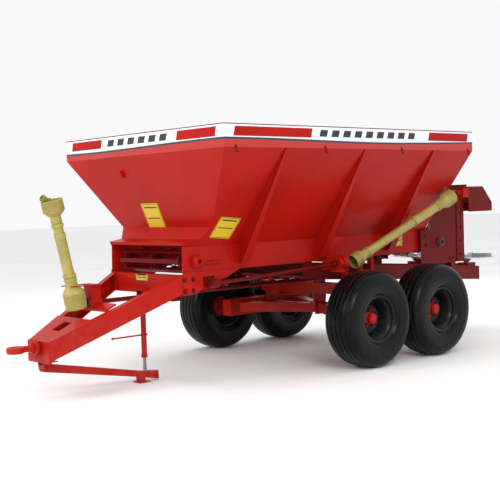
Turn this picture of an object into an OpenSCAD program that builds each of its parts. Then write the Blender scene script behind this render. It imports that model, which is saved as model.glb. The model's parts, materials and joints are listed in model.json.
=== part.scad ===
// Towed tandem-axle lime and compost spreader.
// +X points to the rear, +Z up; every module is placed from the front wheel line,
// then moved so that the origin is the middle of the machine on the ground.

/* [Hopper] */
// Length of the hopper at its rim
hopper_len = 3290; // [2600:10:4000]
// Outside width of the hopper at its rim
hopper_w = 2310; // [1900:10:2800]
// Height of the rim above the ground
hopper_top = 2175; // [1900:5:2700]
// Height of the upright rim band
band_h = 190; // [100:5:260]
// Thickness of the hopper sheet
sheet_t = 6; // [4:1:10]
// Outside width of the hopper's lower channel
trough_w = 1040; // [900:10:1300]
// Height of the lower channel's top crease
crease_z = 1180; // [1150:5:1400]
// Height of the lower channel's bottom edge
trough_z = 965; // [900:5:1000]
// Number of side ribs on each side
rib_count = 3; // [2:1:4]

/* [Wheels] */
// Outside diameter of a tyre
tyre_d = 890; // [780:10:900]
// Width of a tyre
tyre_w = 345; // [260:5:400]
// Diameter of the rim flange
rim_d = 450; // [380:5:480]
// Distance between left and right tyre middles
track = 2120; // [2000:10:2500]
// Distance between front and rear wheel axes
wheelbase = 930; // [915:5:1300]
// Diameter of a wheel hub cap
hub_d = 110; // [80:5:140]

/* [Running gear] */
// Height of a walking beam
rocker_h = 165; // [130:5:200]
// Width of a walking beam
rocker_w = 125; // [90:5:140]
// Diameter of the walking beams' pivot axle
pivot_d = 70; // [50:5:80]
// Radial play of plain pivots
pivot_play = 0.08; // [0.04:0.01:0.1]

/* [Drawbar] */
// Horizontal length from the front cross member to the nose plate
drawbar_len = 1080; // [850:10:1500]
// Width of the nose plate
nose_w = 320; // [260:10:400]
// Height of the nose plate's middle
nose_z = 395; // [380:5:460]
// Depth of a drawbar beam
beam_h = 158; // [120:2:200]
// Width of a drawbar beam
beam_w = 64; // [50:2:90]
// Outside diameter of the hitch ring
ring_d = 145; // [120:5:180]
// Diameter of the hitch ring's hole
ring_hole_d = 62; // [50:1:80]

/* [Driveline] */
// Height of the main driveline
drive_z = 745; // [740:1:748]
// Diameter of the driveline shafts
shaft_d = 40; // [30:1:45]
// Outside diameter of the drive shaft guard tubes
guard_d = 90; // [80:2:110]
// Radial play of a shaft in a bearing
shaft_play = 0.06; // [0.03:0.01:0.1]

/* [Conveyor] */
// Height of the conveyor's shafts
conveyor_z = 1055; // [1050:1:1060]
// Radius over the conveyor slats
conveyor_r = 110; // [100:2:110]
// Spacing of the conveyor slats
slat_pitch = 165; // [120:5:250]

/* [Spreading discs] */
// Diameter of a spreading disc
disc_d = 600; // [450:10:640]
// Distance between the disc axes
disc_gap = 720; // [720:10:800]
// Height of a disc's plate
disc_z = 838; // [834:1:850]

/* [Hidden] */
$fn = 48;

LEFT = 1;
RIGHT = -1;
big = 9000;

// Hopper, measured from the front wheel line
front_x = -1755;
rear_x = front_x + hopper_len;
band_z = hopper_top - band_h;
wall_y = trough_w / 2;
slope = (hopper_w / 2 - wall_y) / (band_z - crease_z);
slope_t = sheet_t * sqrt(1 + slope * slope);
crease_x = front_x + 272;
crease_front_z = crease_z + 166;
lip_x = front_x + 191;
lip_z = crease_z + 64;
lip_tip_x = front_x + 45;
lip_tip_z = crease_z + 42;

// Running gear
pivot_x = wheelbase / 2;
axle_z = tyre_d / 2;
rocker_y = track / 2 - tyre_w / 2 - 40 - rocker_w / 2;
axle_beam_w = 120;
axle_beam_top = 700;
axle_beam_h = 110;
hanger_t = 20;
hanger_y = rocker_y - rocker_w / 2 - 8 - hanger_t;

// Drawbar
cross_x = front_x + 35;
cross_t = 60;
cross_h = 168;
cross_top = trough_z - 20;
nose_x = cross_x - drawbar_len;
beam_rise = (cross_top - nose_z - beam_h / 2) / drawbar_len;
nose_t = 16;
ring_x = nose_x - 217;
stand_x = nose_x + 42;
stand_z = 257;
foot_x = cross_x - 80;
jack_x = cross_x - 44;
screw_r = 16;

// Driveline
bracket_x = cross_x - 535;
joint_x = bracket_x - 185;
split_x = cross_x + 280;
split_w = 120;
side_start = [split_x + 100, -wall_y - 80, 863];
side_end = [-30, -wall_y - 185, 936];
side_top = [rear_x + 27, -wall_y - 412, 1568];
bevel_tube_r = 30;
park_lean = 12.6;
yoke_droop = 44;

// Rear end
panel_y = wall_y + 40;
panel_bottom = 822;
panel_top = 1590;
panel_rear_x = rear_x + 635;
hood_x = rear_x + 665;
hood_len = 440;
hood_z = 1635;
hood_y = wall_y + 100;
hood_low = 1360;
disc_x = 2500 - 1535 + rear_x;
disc_y = disc_gap / 2;
beater_x = rear_x + 265;
beater_z = 1385;
beater_r = 165;
sub_y = disc_y + 105;
sub_w = 50;
sub_h = 150;
sub_front_x = -250;
sub_drop = 0.0747;
gearbox_z = drive_z - 20;

// Conveyor
idler_x = front_x + 180;
drive_x = rear_x + 220;
chain_y = 395;
chain_w = 30;
chain_h = 24;
slat_w = 2 * (chain_y + 35);
idler_shaft_d = 45;
gate_w = 2 * chain_y + 130;
gate_low = conveyor_z + conveyor_r + 12;
gate_h = 230;

// The origin is the middle of the overall length
rearmost = max(disc_x + disc_d / 2, hood_x + hood_len);
mid_x = (ring_x - ring_d / 2 + rearmost) / 2;

red = [0.78, 0.10, 0.07];
dark_red = [0.55, 0.06, 0.07];
black = [0.07, 0.07, 0.08];
olive = [0.72, 0.66, 0.30];
steel = [0.62, 0.62, 0.63];
band_white = [0.86, 0.88, 0.92];

function beam_top(x) = nose_z + beam_h / 2 + (x - nose_x) * beam_rise;
function sub_top(x) = 950 - (x - sub_front_x) * sub_drop;
function wall_at(z) = wall_y + (z - crease_z) * slope;

module placed() translate([-mid_x, 0, 0]) children();

// A box from its lowest and highest corners
module block(a, b) translate(a) cube(b - a);

// A profile given in X and Z, extruded along Y from y0 to y1
module side_profile(points, y0, y1)
  translate([0, y1, 0]) rotate([90, 0, 0]) linear_extrude(y1 - y0) polygon(points);

// A profile given in Y and Z, extruded along X from x0 to x1
module cross_profile(points, x0, x1)
  translate([x0, 0, 0]) rotate([90, 0, 90]) linear_extrude(x1 - x0) polygon(points);

module x_rod(x0, x1, r) translate([x0, 0, 0]) rotate([0, 90, 0]) cylinder(h = x1 - x0, r = r);

module y_rod(y0, y1, r) translate([0, y0, 0]) rotate([-90, 0, 0]) cylinder(h = y1 - y0, r = r);

// Turns +Z onto the line from p to q, with the origin at p
module along(p, q) {
  d = q - p;
  translate(p) rotate([0, acos(d[2] / norm(d)), atan2(d[1], d[0])]) children();
}

// ---- Chassis and drawbar ----

module chassis_plates() color(red) placed() for (s = [LEFT, RIGHT]) {
  y = s == LEFT ? wall_y : -wall_y - 10;
  difference() {
    side_profile([[cross_x, trough_z], [cross_x, cross_top - cross_h - 4], [cross_x + 110, cross_top - cross_h],
      [cross_x + 220, 815], [cross_x + 340, 850], [cross_x + 440, 878], [cross_x + 640, trough_z]],
      y, y + 10);
    translate([split_x - split_w / 2 - 3, y - 5, 680]) cube([split_w + 6, 20, 240]);
    for (p = bolt_places()) translate([p[0], y - 5, p[1]]) y_rod(0, 20, 9);
  }
}

function bolt_places() = [for (i = [0, 1], k = [0, 1])
  [cross_x + 20 + 90 * i, cross_top - 40 - 95 * k]];

module bolt(r, head_t, shank) {
  translate([0, 0, -shank]) cylinder(h = shank, r = r);
  cylinder(h = head_t, r = 1.8 * r, $fn = 6);
}

module chassis_bolts() color(dark_red) placed() for (s = [LEFT, RIGHT], p = bolt_places())
  translate([p[0], s * (wall_y + 10), p[1]]) rotate([-90 * s, 0, 0]) bolt(8.9, 10, 9.5);

module front_cross_member() color(red) placed() {
  difference() {
    block([cross_x, -wall_y, cross_top - cross_h], [cross_x + cross_t, wall_y, cross_top]);
    block([cross_x + 8, -wall_y + 12, cross_top - cross_h + 8], [cross_x + big, wall_y - 12, cross_top - 8]);
  }
  // Upper bracket of the screw jack: it hangs round the driveline and holds the fixed screw
  difference() {
    block([jack_x - 30, -44, 690], [cross_x, 44, cross_top - cross_h + 42]);
    block([jack_x - 31, -34, 712], [cross_x + 1, 34, 800]);
  }
  translate([jack_x, 0, 400]) cylinder(h = 300, r = screw_r);
}

module drawbar_beam(s) {
  y_nose = nose_w / 2 - beam_w / 2 - 4;
  y_rear = wall_y - beam_w / 2;
  dx = drawbar_len;
  intersection() {
    linear_extrude(2000) polygon([[nose_x, s * (y_nose - beam_w / 2)], [cross_x, s * (y_rear - beam_w / 2)],
      [cross_x, s * (y_rear + beam_w / 2)], [nose_x, s * (y_nose + beam_w / 2)]]);
    difference() {
      side_profile([[nose_x, beam_top(nose_x) - beam_h], [cross_x, beam_top(cross_x) - beam_h],
        [cross_x, beam_top(cross_x)], [nose_x, beam_top(nose_x)]], -big, big);
      intersection() {
        linear_extrude(2000) polygon([[nose_x + 20, 0], [cross_x - 20, 0],
          [cross_x - 20, s * (y_rear + beam_w / 2 - 9)], [nose_x + 20, s * (y_nose + beam_w / 2 - 9 + 20 * (y_rear - y_nose) / dx)]]);
        side_profile([[nose_x + 20, beam_top(nose_x + 20) - beam_h + 9],
          [cross_x - 20, beam_top(cross_x - 20) - beam_h + 9],
          [cross_x - 20, beam_top(cross_x - 20) - 9], [nose_x + 20, beam_top(nose_x + 20) - 9]], -big, big);
      }
    }
  }
}

module drawbar_beam_left() color(red) placed() drawbar_beam(LEFT);

module drawbar_beam_right() color(red) placed() drawbar_beam(RIGHT);

module drawbar_nose() color(red) placed() {
  half = nose_w / 2;
  plate_end = nose_x + 345;
  plate_len = plate_end - nose_x;
  spread = (wall_y - beam_w / 2 - half + beam_w / 2 + 4) / drawbar_len;
  // Nose plate with the swivel boss
  difference() {
    union() {
      block([nose_x - nose_t, -half, nose_z - beam_h / 2 - 12], [nose_x, half, nose_z + beam_h / 2 + 8]);
      translate([0, 0, nose_z + 33]) x_rod(nose_x - 62, nose_x + 40, 45);
      translate([0, 0, nose_z + 33]) x_rod(nose_x - 62, nose_x - 44, 74);
    }
    translate([0, 0, nose_z + 33]) x_rod(nose_x - 80, nose_x + 60, 24 + pivot_play);
  }
  // Web plate on top of the two beams, with its slot
  difference() {
    intersection() {
      linear_extrude(2000) polygon([[nose_x, -half + 4], [plate_end, -half - plate_len * spread],
        [plate_end, half + plate_len * spread], [nose_x, half - 4]]);
      side_profile([[nose_x, beam_top(nose_x)], [plate_end, beam_top(plate_end)],
        [plate_end, beam_top(plate_end) + 8], [nose_x, beam_top(nose_x) + 8]], -big, big);
    }
    block([nose_x + 150, -60, 300], [nose_x + 280, 60, 900]);
  }
  // Lugs of the stand's hinge, under the nose
  for (s = [LEFT, RIGHT])
    side_profile([[stand_x - 42, nose_z - beam_h / 2 - 6], [stand_x - 30, stand_z - 24], [stand_x + 30, stand_z - 24],
      [stand_x + 42, nose_z - beam_h / 2 - 6]], s == LEFT ? 32 : -44, s == LEFT ? 44 : -32);
  block([nose_x - nose_t, -half + 60, nose_z - beam_h / 2 - 12], [stand_x + 60, half - 60, nose_z - beam_h / 2 - 4]);
  translate([stand_x, 0, stand_z]) y_rod(-52, 52, 12);
}

module hitch_eye() color(red) placed() translate([0, 0, nose_z + 33]) {
  difference() {
    union() {
      translate([ring_x, 0, 0]) rotate_extrude() difference() {
        translate([ring_hole_d / 2, -27]) square([(ring_d - ring_hole_d) / 2, 54]);
        for (k = [-1, 1]) translate([ring_d / 2, 27 * k]) rotate(45) square(26, center = true);
      }
      x_rod(ring_x + ring_hole_d / 2 + 12, nose_x - 64, 30);
    }
    translate([ring_x, 0, -40]) cylinder(h = 80, r = ring_hole_d / 2);
  }
  x_rod(nose_x - 64, nose_x + 46, 24);
  x_rod(nose_x + 42, nose_x + 66, 40, $fn = 6);
}

// ---- Parking stand and its screw jack ----

module stand_bar() color(red) placed() {
  bar_end = jack_x - 24;
  difference() {
    side_profile([[stand_x - 34, stand_z + 26], [stand_x - 34, stand_z - 30], [bar_end, 42], [bar_end + 150, 8],
      [bar_end + 150, 84], [bar_end, 96], [stand_x + 36, stand_z + 26]], -30, 30);
    side_profile([[stand_x + 60, stand_z - 28], [bar_end - 40, 62], [bar_end - 40, 82], [stand_x + 60, stand_z + 2]],
      -22, 60);
    translate([stand_x, 0, stand_z]) y_rod(-60, 60, 12 + pivot_play);
    // Open slot for the foot of the jack screw
    block([jack_x - 22, -19, 20], [jack_x + 54, 19, 200]);
    for (x = [76, 104]) translate([jack_x + x, 0, 50]) y_rod(-60, 60, 8);
  }
  // Pin ends at the screw's foot
  for (y = [-36, 19.5]) translate([jack_x, 0, 66]) y_rod(y, y + 16.5, 10);
  // Foot plate on the ground
  block([foot_x - 60, -55, 0], [foot_x + 50, 55, 10]);
  block([foot_x - 40, -30, 10], [foot_x + 18, 30, 52]);
}

module jack_tube() color(red) placed() translate([jack_x, 0, 0]) {
  difference() {
    translate([0, 0, 212]) cylinder(h = 470, r = 24);
    translate([0, 0, 200]) cylinder(h = 500, r = screw_r + 0.4);
  }
  // Sliding tommy bar, welded across the nut
  translate([0, 0, 412]) {
    x_rod(-330, -23, 7);
    x_rod(23, 39, 7);
    translate([-330, 0, 0]) sphere(r = 11);
  }
}

module jack_screw() color(steel) placed() translate([jack_x, 0, 0]) {
  translate([0, 0, 92]) cylinder(h = 290, r = screw_r);
  difference() {
    block([-17, -17, 46], [17, 17, 92]);
    translate([0, 0, 66]) y_rod(-20, 20, 10.5);
  }
}

// ---- Hopper ----

// Inside of the hopper as a Y, Z outline
module hopper_inside(x0, x1)
  cross_profile([[-wall_y + sheet_t, trough_z], [wall_y - sheet_t, trough_z], [wall_y - sheet_t, inner_crease()],
    [hopper_w / 2 - slope_t, band_z], [hopper_w / 2 - slope_t, hopper_top],
    [-hopper_w / 2 + slope_t, hopper_top], [-hopper_w / 2 + slope_t, band_z],
    [-wall_y + sheet_t, inner_crease()]], x0, x1);

function inner_crease() = crease_z + (slope_t - sheet_t) / slope;

// Outside of the hopper as an X, Z outline
front_line = [[front_x, band_z], [crease_x, crease_front_z], [lip_x, lip_z], [lip_tip_x, lip_tip_z]];

module hopper_side(s) intersection() {
  cross_profile([[s * wall_y, trough_z], [s * wall_y, crease_z], [s * hopper_w / 2, band_z],
    [s * (hopper_w / 2 - slope_t), band_z], [s * (wall_y - sheet_t), inner_crease()],
    [s * (wall_y - sheet_t), trough_z]], front_x, rear_x);
  difference() {
    side_profile(concat(front_line, [[lip_tip_x - 8, trough_z], [rear_x, trough_z], [rear_x, band_z]]),
      -big, big);
    // Slot for the conveyor's front shaft
    for (x = [idler_x, idler_x + 30]) translate([x, 0, conveyor_z]) y_rod(-big, big, idler_shaft_d / 2 + 8);
    block([idler_x, -big, conveyor_z - idler_shaft_d / 2 - 8], [idler_x + 30, big, conveyor_z + idler_shaft_d / 2 + 8]);
  }
}

module hopper_side_left() color(red) placed() hopper_side(LEFT);

module hopper_side_right() color(red) placed() hopper_side(RIGHT);

module hopper_front() color(red) placed() {
  t = sheet_t;
  intersection() {
    side_profile([[front_x, band_z], [crease_x, crease_front_z], [lip_x, lip_z], [lip_tip_x, lip_tip_z],
      [lip_tip_x, lip_tip_z - t], [lip_x + 2, lip_z - t], [crease_x + t, crease_front_z - 3],
      [crease_x + t + 1, crease_front_z + 1], [front_x + 1.1 * t, band_z]], -big, big);
    hopper_inside(front_x - 10, rear_x);
  }
  // Stiffening angle across the lip
  block([lip_tip_x, -wall_y + t, lip_tip_z - 26], [lip_tip_x + 6, wall_y - t, lip_tip_z - 2]);
  // Lifting lug high on the front plate
  side_profile([[front_x + 54, band_z - 118], [front_x + 87, band_z - 196], [front_x + 50, band_z - 185],
    [front_x + 24, band_z - 132]], wall_y - 200, wall_y - 190);
}

module hopper_rear() color(red) placed() difference() {
  union() {
    intersection() {
      hopper_inside(rear_x - sheet_t, rear_x);
      block([rear_x - sheet_t, -big, 0], [rear_x, big, band_z]);
    }
    // Guide angles of the metering gate
    for (s = [LEFT, RIGHT]) translate([0, s == LEFT ? 0 : -1, 0]) {
      y0 = s == LEFT ? gate_w / 2 + 2 : -gate_w / 2 - 14;
      block([rear_x, y0, gate_low], [rear_x + 12, y0 + 13, hood_z - 10]);
      lip_y = s == LEFT ? y0 - 14 : y0;
      block([rear_x + 12, lip_y, gate_low], [rear_x + 18, lip_y + 27, hood_z - 10]);
    }
  }
  block([rear_x - 50, -chain_y - 50, 0], [rear_x + 1, chain_y + 50, gate_low + gate_h - 25]);
}

module hopper_floor() color(dark_red) placed()
  block([idler_x + 150, -wall_y + sheet_t, conveyor_z + conveyor_r - 50],
    [rear_x - sheet_t, wall_y - sheet_t, conveyor_z + conveyor_r - 44]);

module rim_band() color(band_white) placed() difference() {
  block([front_x, -hopper_w / 2, band_z], [rear_x, hopper_w / 2, hopper_top]);
  block([front_x + sheet_t, -hopper_w / 2 + sheet_t, band_z - 1], [rear_x - sheet_t, hopper_w / 2 - sheet_t, hopper_top - 14]);
  // Rolled rim: a narrow inward flange along the top
  block([front_x + 30, -hopper_w / 2 + 30, band_z], [rear_x - 30, hopper_w / 2 - 30, hopper_top + 1]);
}

// One tapered gusset, wide at the bottom and a point at the rim band
module rib(s) {
  foot_z = trough_z + 42;
  out = 62;
  tip_y = wall_at(band_z - 8);
  cross_profile([[s * wall_y, foot_z], [s * (wall_y + out), foot_z], [s * (tip_y + 5), band_z - 8],
    [s * tip_y, band_z - 8], [s * wall_y, crease_z]], -5, 5);
  intersection() {
    cross_profile([[s * (wall_y + out), foot_z], [s * (wall_y + out + 8), foot_z],
      [s * (tip_y + 13), band_z - 8], [s * (tip_y + 5), band_z - 8]], -60, 60);
    side_profile([[-46, foot_z], [46, foot_z], [9, band_z], [-9, band_z]], -big, big);
  }
}

rib_front = rear_x - 2605;
rib_step = (2605 - 625) / 2;
module side_ribs() color(red) placed() for (s = [LEFT, RIGHT], i = [0:rib_count - 1])
  translate([rib_front + i * rib_step * 2 / (rib_count - 1), 0, 0]) rib(s);

module tarp_hooks() color(dark_red) placed() for (s = [LEFT, RIGHT], i = [0:3])
  translate([front_x + 120 + i * (hopper_len - 200) / 3, s * (hopper_w / 2), band_z + 12]) {
    y0 = s == LEFT ? 0 : -16;
    block([-9, y0, -20], [9, y0 + 16, 0]);
    block([-9, s == LEFT ? 10 : -16, -52], [9, s == LEFT ? 16 : -10, -20]);
  }

// ---- Rear end ----

module rear_panel(s) {
  y = s == LEFT ? panel_y - 6 : -panel_y;
  bite_r = 180;
  difference() {
    block([rear_x - 105, y, panel_bottom], [panel_rear_x, y + 6, panel_top]);
    translate([rear_x - 105, y - 10, panel_bottom + 543]) y_rod(0, 30, bite_r);
    block([rear_x - 106, y - 10, panel_bottom + 543], [rear_x - 105 + bite_r, y + 30, panel_top + 1]);
    translate([drive_x, y - 10, conveyor_z]) y_rod(0, 30, 34);
    translate([beater_x, y - 10, beater_z]) y_rod(0, 30, 30);
    translate([bevel_x, y - 10, side_top[2]]) y_rod(0, 30, bevel_tube_r);
  }
  // Rear post: a folded flange along the back edge
  outer = s == LEFT ? panel_y : -panel_y - 8;
  block([panel_rear_x - 120, outer, panel_bottom], [panel_rear_x, outer + 8, panel_top]);
  block([panel_rear_x, s == LEFT ? panel_y - 46 : -panel_y - 8, panel_bottom],
    [panel_rear_x + 8, s == LEFT ? panel_y + 8 : -panel_y + 46, panel_top]);
  // Spacer that joins the panel to the trough wall
  spacer = s == LEFT ? wall_y : -panel_y + 6;
  block([rear_x - 100, spacer, trough_z], [rear_x - 50, spacer + panel_y - 6 - wall_y, crease_z - 10]);
  // Hanger of the disc sub-frame, in front of and behind the panel's middle
  for (x = [rear_x - 98, rear_x + 420]) difference() {
    block([x, s == LEFT ? sub_y + sub_w / 2 : -panel_y + 6, sub_top(x + 78) - 60],
      [x + 78, s == LEFT ? panel_y - 6 : -sub_y - sub_w / 2, panel_bottom + 70]);
    block([x + 8, s == LEFT ? sub_y + sub_w / 2 + 8 : -panel_y + 14, 600],
      [x + 90, s == LEFT ? panel_y - 14 : -sub_y - sub_w / 2 - 8, 1000]);
  }
  // Stays that carry the beater cover
  for (x = [rear_x + 190, panel_rear_x - 70])
    block([x, s == LEFT ? panel_y - 6 : -panel_y, panel_top], [x + 50, s == LEFT ? panel_y : -panel_y + 6, hood_z - 6]);
}

module rear_panel_left() color(dark_red) placed() rear_panel(LEFT);

module rear_panel_right() color(dark_red) placed() rear_panel(RIGHT);

hinge_z = hood_z + 12;
hinge_x = hood_x - 8;

module beater_cover() color(red) placed() {
  block([rear_x, -hood_y, hood_z - 6], [hinge_x - 4, hood_y, hood_z]);
  translate([hinge_x, 0, hinge_z]) {
    y_rod(-hood_y + 20, hood_y - 20, 6);
    for (y = [-hood_y + 20, -60, hood_y - 140]) difference() {
      union() {
        y_rod(y, y + 120, 11.9);
        block([-30, y, -12], [0, y + 120, -4]);
      }
      translate([4, y - 1, -13]) cube([20, 122, 6]);
    }
  }
}

module rear_hood() color(red) placed() {
  hx = hood_x + 2;
  outline = [[hx, hood_low], [hood_x + hood_len, hood_low], [hood_x + hood_len, hood_z - 180],
    [hood_x + hood_len - 170, hood_z], [hx, hood_z]];
  difference() {
    side_profile(outline, -hood_y, hood_y);
    side_profile([[hx - 9, hood_low - 9], [hood_x + hood_len - 5, hood_low - 9], [hood_x + hood_len - 5, hood_z - 182],
      [hood_x + hood_len - 172, hood_z - 5], [hx - 9, hood_z - 5]], -hood_y + 5, hood_y - 5);
  }
  translate([hinge_x, 0, hinge_z]) for (y = [-hood_y + 145, 65]) difference() {
    union() {
      y_rod(y, y + hood_y - 210, 11.9);
      block([0, y, -12], [40, y + hood_y - 210, -4]);
    }
    y_rod(y - 1, y + hood_y, 6 + pivot_play);
    translate([-24, y - 1, -13]) cube([20, hood_y, 9]);
  }
}

module metering_gate() color(steel) placed() {
  block([rear_x + 3, -gate_w / 2, gate_low], [rear_x + 9, gate_w / 2, gate_low + gate_h]);
  for (s = [LEFT, RIGHT]) translate([rear_x + 9, s * 220 - 15, gate_low + 20]) cube([5, 30, gate_h - 40]);
  // Pull handle
  difference() {
    block([rear_x + 9, -60, gate_low + gate_h - 40], [rear_x + 50, 60, gate_low + gate_h - 28]);
    block([rear_x + 14, -48, gate_low], [rear_x + 40, 48, gate_low + gate_h]);
  }
}

module beater() color(dark_red) placed() translate([beater_x, 0, beater_z]) {
  y_rod(-chain_y - 30, chain_y + 30, 45);
  y_rod(-wall_y - 34, wall_y + 34, 20);
  for (i = [0:11], a = [0, 180]) rotate([0, i * 30 + a, 0])
    translate([40, -chain_y + 60 * i + 30, -18]) cube([beater_r - 40, 10, 36]);
}

bevel_x = rear_x + 125;

module beater_gearbox() color(red) placed() {
  in_y = side_top[1];
  in_z = side_top[2];
  // Bevel box outside the panel, with its stub and its cross tube
  block([bevel_x - 45, in_y - 45, in_z - 48], [bevel_x + 45, in_y + 45, in_z + 48]);
  translate([bevel_x, 0, in_z]) y_rod(in_y + 45, -panel_y + 6, bevel_tube_r);
  translate([0, in_y, in_z]) x_rod(bevel_x - 100, bevel_x - 45, 22);
  // Chain case down to the beater, inside the panel
  difference() {
    block([bevel_x - 60, -panel_y + 6, beater_z - 60], [beater_x + 60, -wall_y + 8, in_z + 55]);
    translate([beater_x, 0, beater_z]) y_rod(-wall_y - 35, 0, 20 + shaft_play);
  }
}

// One sloping channel of the disc sub-frame, open towards the middle
module subframe_beam(s) {
  rear_end = disc_x + 60;
  y = s * sub_y - sub_w / 2;
  y_in = s == LEFT ? y - 1 : y + 8;
  difference() {
    side_profile([[sub_front_x, sub_top(sub_front_x)], [sub_front_x, sub_top(sub_front_x) - sub_h],
      [rear_end, sub_top(rear_end) - sub_h], [rear_end, sub_top(rear_end)]], y, y + sub_w);
    side_profile([[sub_front_x - 1, sub_top(sub_front_x) - 8], [sub_front_x - 1, sub_top(sub_front_x) - sub_h + 8],
      [rear_end + 1, sub_top(rear_end) - sub_h + 8], [rear_end + 1, sub_top(rear_end) - 8]], y_in, y_in + sub_w - 7);
  }
}

module subframe_beam_left() color(dark_red) placed() subframe_beam(LEFT);

module subframe_beam_right() color(dark_red) placed() subframe_beam(RIGHT);

module subframe_ties() color(dark_red) placed() for (x = [sub_front_x + 60, 1400, disc_x - 320])
  translate([x, 0, sub_top(x) - sub_h + 28]) y_rod(-sub_y - sub_w / 2 + 8, sub_y + sub_w / 2 - 8, 16);

module disc_gearbox() color(red) placed() difference() {
  union() {
    block([disc_x - 80, -75, gearbox_z - 75], [disc_x + 80, 75, gearbox_z + 75]);
    translate([disc_x, 0, gearbox_z]) y_rod(-disc_y + 60, disc_y - 60, 42);
    for (s = [LEFT, RIGHT]) {
      block([disc_x - 75, s * disc_y - 70, gearbox_z - 70], [disc_x + 75, s * disc_y + 70, gearbox_z + 55]);
      // Mounting ear against the sub-frame beam
      ear = sub_y + sub_w / 2 - 8 - disc_y - 70;
      y = s == LEFT ? disc_y + 70 : -disc_y - 70 - ear;
      block([disc_x - 60, y, gearbox_z - 70], [disc_x + 50, y + ear, gearbox_z - 22]);
    }
  }
  translate([0, 0, drive_z]) x_rod(disc_x - 90, disc_x - 20, shaft_d / 2 + shaft_play);
  for (s = [LEFT, RIGHT]) translate([disc_x, s * disc_y, gearbox_z - 20]) cylinder(h = 200, r = 20 + shaft_play);
}

module spreading_disc(s) translate([disc_x, s * disc_y, 0]) {
  // Shallow dish with a raised rim
  translate([0, 0, disc_z]) rotate_extrude($fn = 96) polygon([[0, -6], [90, -6], [disc_d / 2, 4], [disc_d / 2, 10],
    [disc_d / 2 - 12, 10], [90, 0], [0, 0]]);
  translate([0, 0, disc_z - 52]) cylinder(h = 46, r1 = 28, r2 = 70);
  translate([0, 0, gearbox_z - 15]) cylinder(h = disc_z - gearbox_z + 9, r = 20);
  for (i = [0:3]) rotate([0, 0, 90 * i + 20]) translate([60, -3, disc_z]) {
    rotate([90, 0, 0]) translate([0, 0, -6]) linear_extrude(6) polygon([[0, -2], [disc_d / 2 - 75, 6],
      [disc_d / 2 - 75, 46], [0, 46]]);
  }
}

module spreading_disc_left() color(steel) placed() spreading_disc(LEFT);

module spreading_disc_right() color(steel) placed() spreading_disc(RIGHT);

// ---- Conveyor ----

loop_r = conveyor_r - 16;

// A closed loop band round both shafts, between radii r0 and r1
module loop_band(r0, r1, y0, y1) difference() {
  union() {
    for (x = [idler_x, drive_x]) translate([x, 0, conveyor_z]) y_rod(y0, y1, r1);
    block([idler_x, y0, conveyor_z - r1], [drive_x, y1, conveyor_z + r1]);
  }
  for (x = [idler_x, drive_x]) translate([x, 0, conveyor_z]) y_rod(y0 - 1, y1 + 1, r0);
  block([idler_x, y0 - 1, conveyor_z - r0], [drive_x, y1 + 1, conveyor_z + r0]);
}

module conveyor_chains() color(steel) placed() for (y = [-chain_y, 0, chain_y])
  loop_band(loop_r - chain_h, loop_r, y - chain_w / 2, y + chain_w / 2);

// Slats sit on the chains, a run above, a run below and a few round the front
module conveyor_slats() color(steel) placed() {
  run = drive_x - idler_x;
  for (i = [1:floor(run / slat_pitch) - 1], k = [-1, 1]) {
    z = k == 1 ? conveyor_z + loop_r : conveyor_z - conveyor_r;
    block([idler_x + i * slat_pitch - 20, -slat_w / 2, z], [idler_x + i * slat_pitch + 20, slat_w / 2, z + 16]);
  }
  for (a = [125, 180, 235]) translate([idler_x, 0, conveyor_z]) rotate([0, -a, 0])
    block([loop_r + 0.8, -slat_w / 2, -18], [conveyor_r, slat_w / 2, 18]);
}

module sprocket(teeth, r, w) {
  y_rod(-w / 2, w / 2, r - 14);
  for (i = [0:teeth - 1]) rotate([0, i * 360 / teeth, 0]) translate([r - 20, -w / 2 + 2, -7]) cube([17, w - 4, 14]);
}

module conveyor_shaft(half) {
  y_rod(-half, half, idler_shaft_d / 2);
  for (y = [-chain_y, 0, chain_y]) translate([0, y, 0]) sprocket(9, loop_r - chain_h, 22);
}

module conveyor_idler() color(dark_red) placed() translate([idler_x, 0, conveyor_z]) conveyor_shaft(wall_y + 46);

module conveyor_drive() color(dark_red) placed() translate([drive_x, 0, conveyor_z]) {
  conveyor_shaft(panel_y - 4);
  y_rod(-panel_y - 16, panel_y + 40, 20);
}

module conveyor_gearbox() color(red) placed() {
  difference() {
    union() {
      block([drive_x - 90, panel_y + 8, conveyor_z - 90], [drive_x + 90, panel_y + 120, conveyor_z + 90]);
      translate([drive_x, 0, conveyor_z]) y_rod(panel_y + 120, panel_y + 150, 55);
    }
    translate([drive_x, 0, conveyor_z]) y_rod(panel_y, panel_y + 42, 20 + shaft_play);
    translate([drive_x, 0, conveyor_z]) y_rod(panel_y, panel_y + 12, 26);
  }
  // Bearing flange on the other side
  difference() {
    translate([drive_x, 0, conveyor_z]) y_rod(-panel_y - 14, -panel_y, 52);
    translate([drive_x, 0, conveyor_z]) y_rod(-panel_y - 15, -panel_y + 1, 20 + shaft_play);
  }
  // Feet that bolt it to the rear panel
  block([drive_x - 90, panel_y, conveyor_z - 80], [drive_x - 60, panel_y + 8, conveyor_z + 80]);
  block([drive_x + 60, panel_y, conveyor_z - 80], [drive_x + 90, panel_y + 8, conveyor_z + 80]);
}

module chain_tensioner() color(red) placed() for (s = [LEFT, RIGHT]) {
  y0 = s == LEFT ? wall_y + 2 : -wall_y - 42;
  difference() {
    union() {
      block([idler_x - 45, y0, conveyor_z - 46], [idler_x + 60, y0 + 40, conveyor_z + 46]);
      translate([idler_x, 0, conveyor_z]) y_rod(y0, y0 + 40, 50);
    }
    translate([idler_x, 0, conveyor_z]) y_rod(y0 - 1, y0 + 41, idler_shaft_d / 2 + shaft_play);
  }
  // Tension screw
  translate([0, y0 + 20, conveyor_z - 18]) x_rod(idler_x + 60, idler_x + 280, 9);
  translate([0, y0 + 20, conveyor_z - 18]) x_rod(idler_x + 180, idler_x + 196, 17, $fn = 6);
}

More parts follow.
